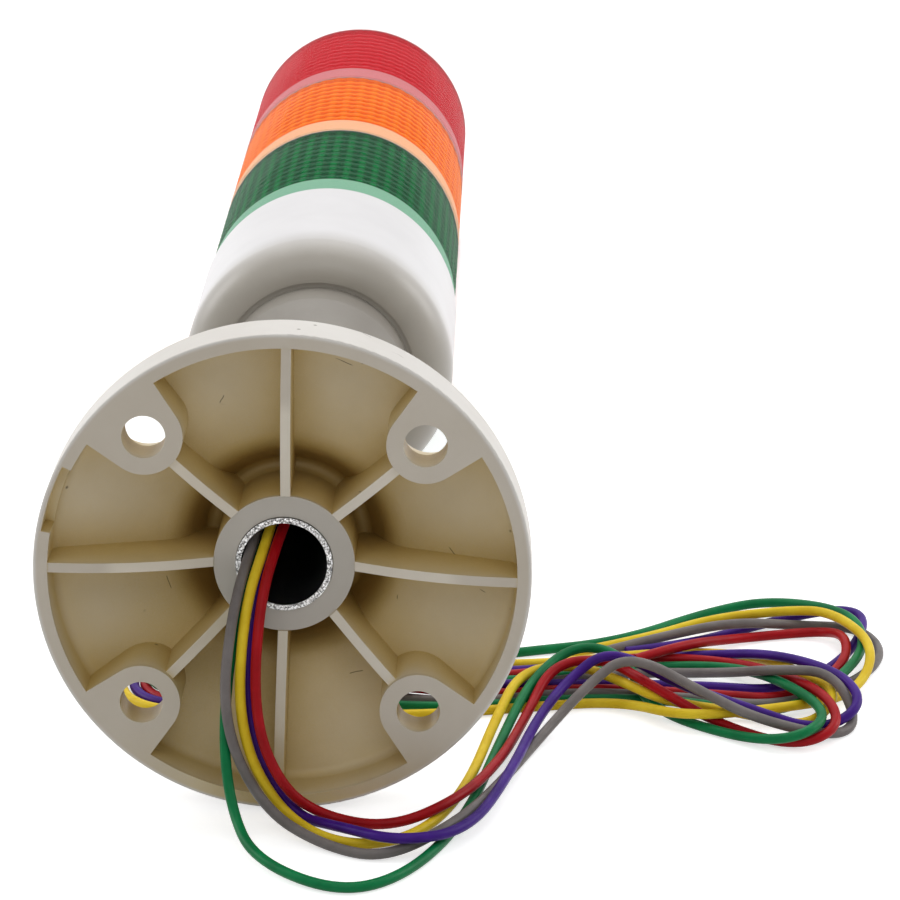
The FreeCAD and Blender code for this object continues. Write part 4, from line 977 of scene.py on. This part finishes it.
# %% Three tiers
for tier, colour in enumerate(COLOURS):
    tones = LENS_TONES[colour]
    tier_floor = SEAL_HEIGHTS["seal_green"] + TIER_PITCH * tier
    shell = make_shell(colour, tones, tier_floor)
    foot_ring = make_foot_ring(colour, tones, tier_floor)
    core = make_core(colour, tones, tier_floor)
    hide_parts(f"lens_{colour}")
    for piece in (shell, core, foot_ring):
        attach(piece, "root")
    print(colour, "shell", len(shell.data.polygons), "faces, core", len(core.data.polygons), "faces")

# %% [markdown]
# ## The plate under the cap
#
# The red lens is closed by a cap. Under it a plate with fine rings spreads the light upwards. It is a turned
# disc, so one profile makes it.

# %% Cap plate
PLATE_RINGS = 10
PLATE_GAP = 0.4 * MM
PLATE_THICK = 1.4 * MM
GROOVE_DEPTH = 0.7 * MM
LAND = 0.2 * MM
plate_top = SEAL_HEIGHTS["seal_green"] + 3 * TIER_PITCH + CAP / 2 - PLATE_GAP
plate_foot = plate_top - PLATE_THICK
plate_profile = [(0.0, plate_foot), (0.0, plate_top)]
for k in range(PLATE_RINGS):
    near = CORE_RADIUS * k / PLATE_RINGS
    far = CORE_RADIUS * (k + 1) / PLATE_RINGS
    plate_profile += [(near + LAND, plate_top), (far - LAND / 2, plate_top - GROOVE_DEPTH)]
plate_profile += [(CORE_RADIUS, plate_top - LAND), (CORE_RADIUS, plate_foot)]
plate_finish = moulded("lens_plate_red", "C42A36", "B8242F", 0.3, peel=0.05)
plate = turned_piece("lens_plate_red", plate_profile, plate_finish, steps=128)
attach(plate, "root")
print("plate", len(plate.data.polygons), "faces")

# %% [markdown]
# ## Insulation
#
# PVC insulation is dyed through and has a soft shine. It picks up a matt bloom and small nicks as the leads
# are pulled about. Each colour drifts a little along the lead. The same finish function serves all five.

# %% Lead finishes
LEAD_TONES = {
    "red": ("B00C18", "980812"),
    "yellow": ("EED030", "DEBC22"),
    "green": ("037C46", "02683A"),
    "purple": ("441888", "381274"),
    "gray": ("7E7876", "6E6866"),
}
NICK_GREY = "3A3432"


def make_lead_finish(colour, tones):
    """Dyed insulation with a patchy shine and a few nicks."""
    material, tree, shader = new_finish(f"insulation_{colour}", Specular_IOR_Level=0.15)
    place = object_position(tree)
    skin = use_group(tree, SKIN, Position=place, Peel_Scale=1400.0, Cloud_Scale=110.0)
    dirt = use_group(tree, MARKS, Position=place, Speck_Scale=500.0, Hair_Scale=200.0)
    tone = blend(tree, skin["Cloud"], linear(tones[0]), linear(tones[1]))
    tone = blend(tree, calc(tree, "MULTIPLY", dirt["Specks"], 0.5), tone, linear(NICK_GREY))
    feed(tree, tone, shader.inputs["Base Color"])
    feed(tree, calc(tree, "MULTIPLY_ADD", skin["Cloud"], 0.12, 0.34), shader.inputs["Roughness"])
    bump(tree, shader, skin["Peel"], 0.12, 0.08 * MM)
    return material


for colour, lead in leads.items():
    lead.data.materials.append(make_lead_finish(colour, LEAD_TONES[colour]))
    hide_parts(f"wire_{colour}")
    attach(lead, "root")
print("dressed", len(leads), "leads")

# %% [markdown]
# ## Floor
#
# The light lies in a plain white studio. A floor that is only lit would come out grey, and brighter lamps
# would bleach the object. So the floor gives off a little light of its own, but only to the rays that show a
# background: those of the camera, of reflections and of clear plastic. It still catches the shadow. Farther
# out it glows more, so that it meets the white backdrop without a line.

# %% Floor
FLOOR_REACH = 12.0
FLOOR_FADE = (0.6, 2.0)
NEAR_GLOW = 0.62
ADDED_GLOW = 0.5


def seen_rays(tree):
    """1 for the rays that show a background, 0 for those that light the object."""
    rays = tree.nodes.new("ShaderNodeLightPath").outputs
    seen = calc(tree, "ADD", rays["Is Camera Ray"], rays["Is Glossy Ray"])
    return calc(tree, "ADD", seen, rays["Is Transmission Ray"], clamp=True)


def make_floor_finish():
    """Matt pale floor that glows to the rays that show it."""
    material, tree, shader = new_finish("studio_floor", Roughness=0.9, Specular_IOR_Level=0.0)
    shader.inputs["Base Color"].default_value = (0.75, 0.75, 0.75, 1.0)
    shader.inputs["Emission Color"].default_value = (1.0, 1.0, 1.0, 1.0)
    far = add(tree, "ShaderNodeVectorMath", {0: object_position(tree)}, operation="LENGTH")
    glow = calc(tree, "MULTIPLY_ADD", step(tree, far.outputs["Value"], *FLOOR_FADE), ADDED_GLOW, NEAR_GLOW)
    feed(tree, calc(tree, "MULTIPLY", seen_rays(tree), glow), shader.inputs["Emission Strength"])
    return material


floor_mesh = bpy.data.meshes.new("studio_floor")
floor_corners = [(x * FLOOR_REACH, y * FLOOR_REACH, 0.0) for x, y in ((-1, -1), (1, -1), (1, 1), (-1, 1))]
floor_mesh.from_pydata(floor_corners, [], [(0, 1, 2, 3)])
floor_mesh.materials.append(make_floor_finish())
studio_floor = bpy.data.objects.new("studio_floor", floor_mesh)
scene.collection.objects.link(studio_floor)
print("floor", 2 * FLOOR_REACH, "m wide")

# %% [markdown]
# ## Backdrop and lamps
#
# The backdrop is the world itself: full white where it is seen, and dimmer where it lights the object, or the
# hollow of the flange would lose its shade. Four large soft lamps give the light its directions. A large lamp
# near the object casts a soft shadow, as a bright overcast sky does.

# %% Backdrop and lamps
LIGHTING_SHARE = 0.3

world = bpy.data.worlds.new("studio")
world.use_nodes = True
scene.world = world
sky = world.node_tree
sky.nodes.clear()
strength = calc(sky, "MULTIPLY_ADD", seen_rays(sky), 1.0 - LIGHTING_SHARE, LIGHTING_SHARE)
background = add(sky, "ShaderNodeBackground", {"Color": (1.0, 1.0, 1.0, 1.0), "Strength": strength})
sky_out = sky.nodes.new("ShaderNodeOutputWorld")
sky.links.new(background.outputs[0], sky_out.inputs["Surface"])


def softbox(name, place, aim, size, power):
    """A large soft lamp that looks at a point, as wide and high as its size says, in metres and watts."""
    data = bpy.data.lights.new(name, "AREA")
    data.shape = "RECTANGLE"
    data.size, data.size_y = size
    data.energy = power
    lamp = bpy.data.objects.new(name, data)
    scene.collection.objects.link(lamp)
    lamp.location = place
    lamp.rotation_euler = (Vector(aim) - Vector(place)).to_track_quat("-Z", "Y").to_euler()


softbox("top_box", (0.0, 0.5, 1.4), (0.0, 0.0, 0.0), (1.6, 1.6), 11.5)
softbox("left_box", (-1.3, 0.2, 0.7), (0.0, 0.0, 0.05), (0.8, 0.8), 7.5)
softbox("right_box", (1.3, 0.2, 0.7), (0.0, 0.0, 0.05), (0.8, 0.8), 7.5)
softbox("front_box", (0.0, -1.3, 1.2), (0.0, -0.2, 0.05), (1.2, 0.8), 4.0)
print("studio lit by", len(bpy.data.lights), "lamps")
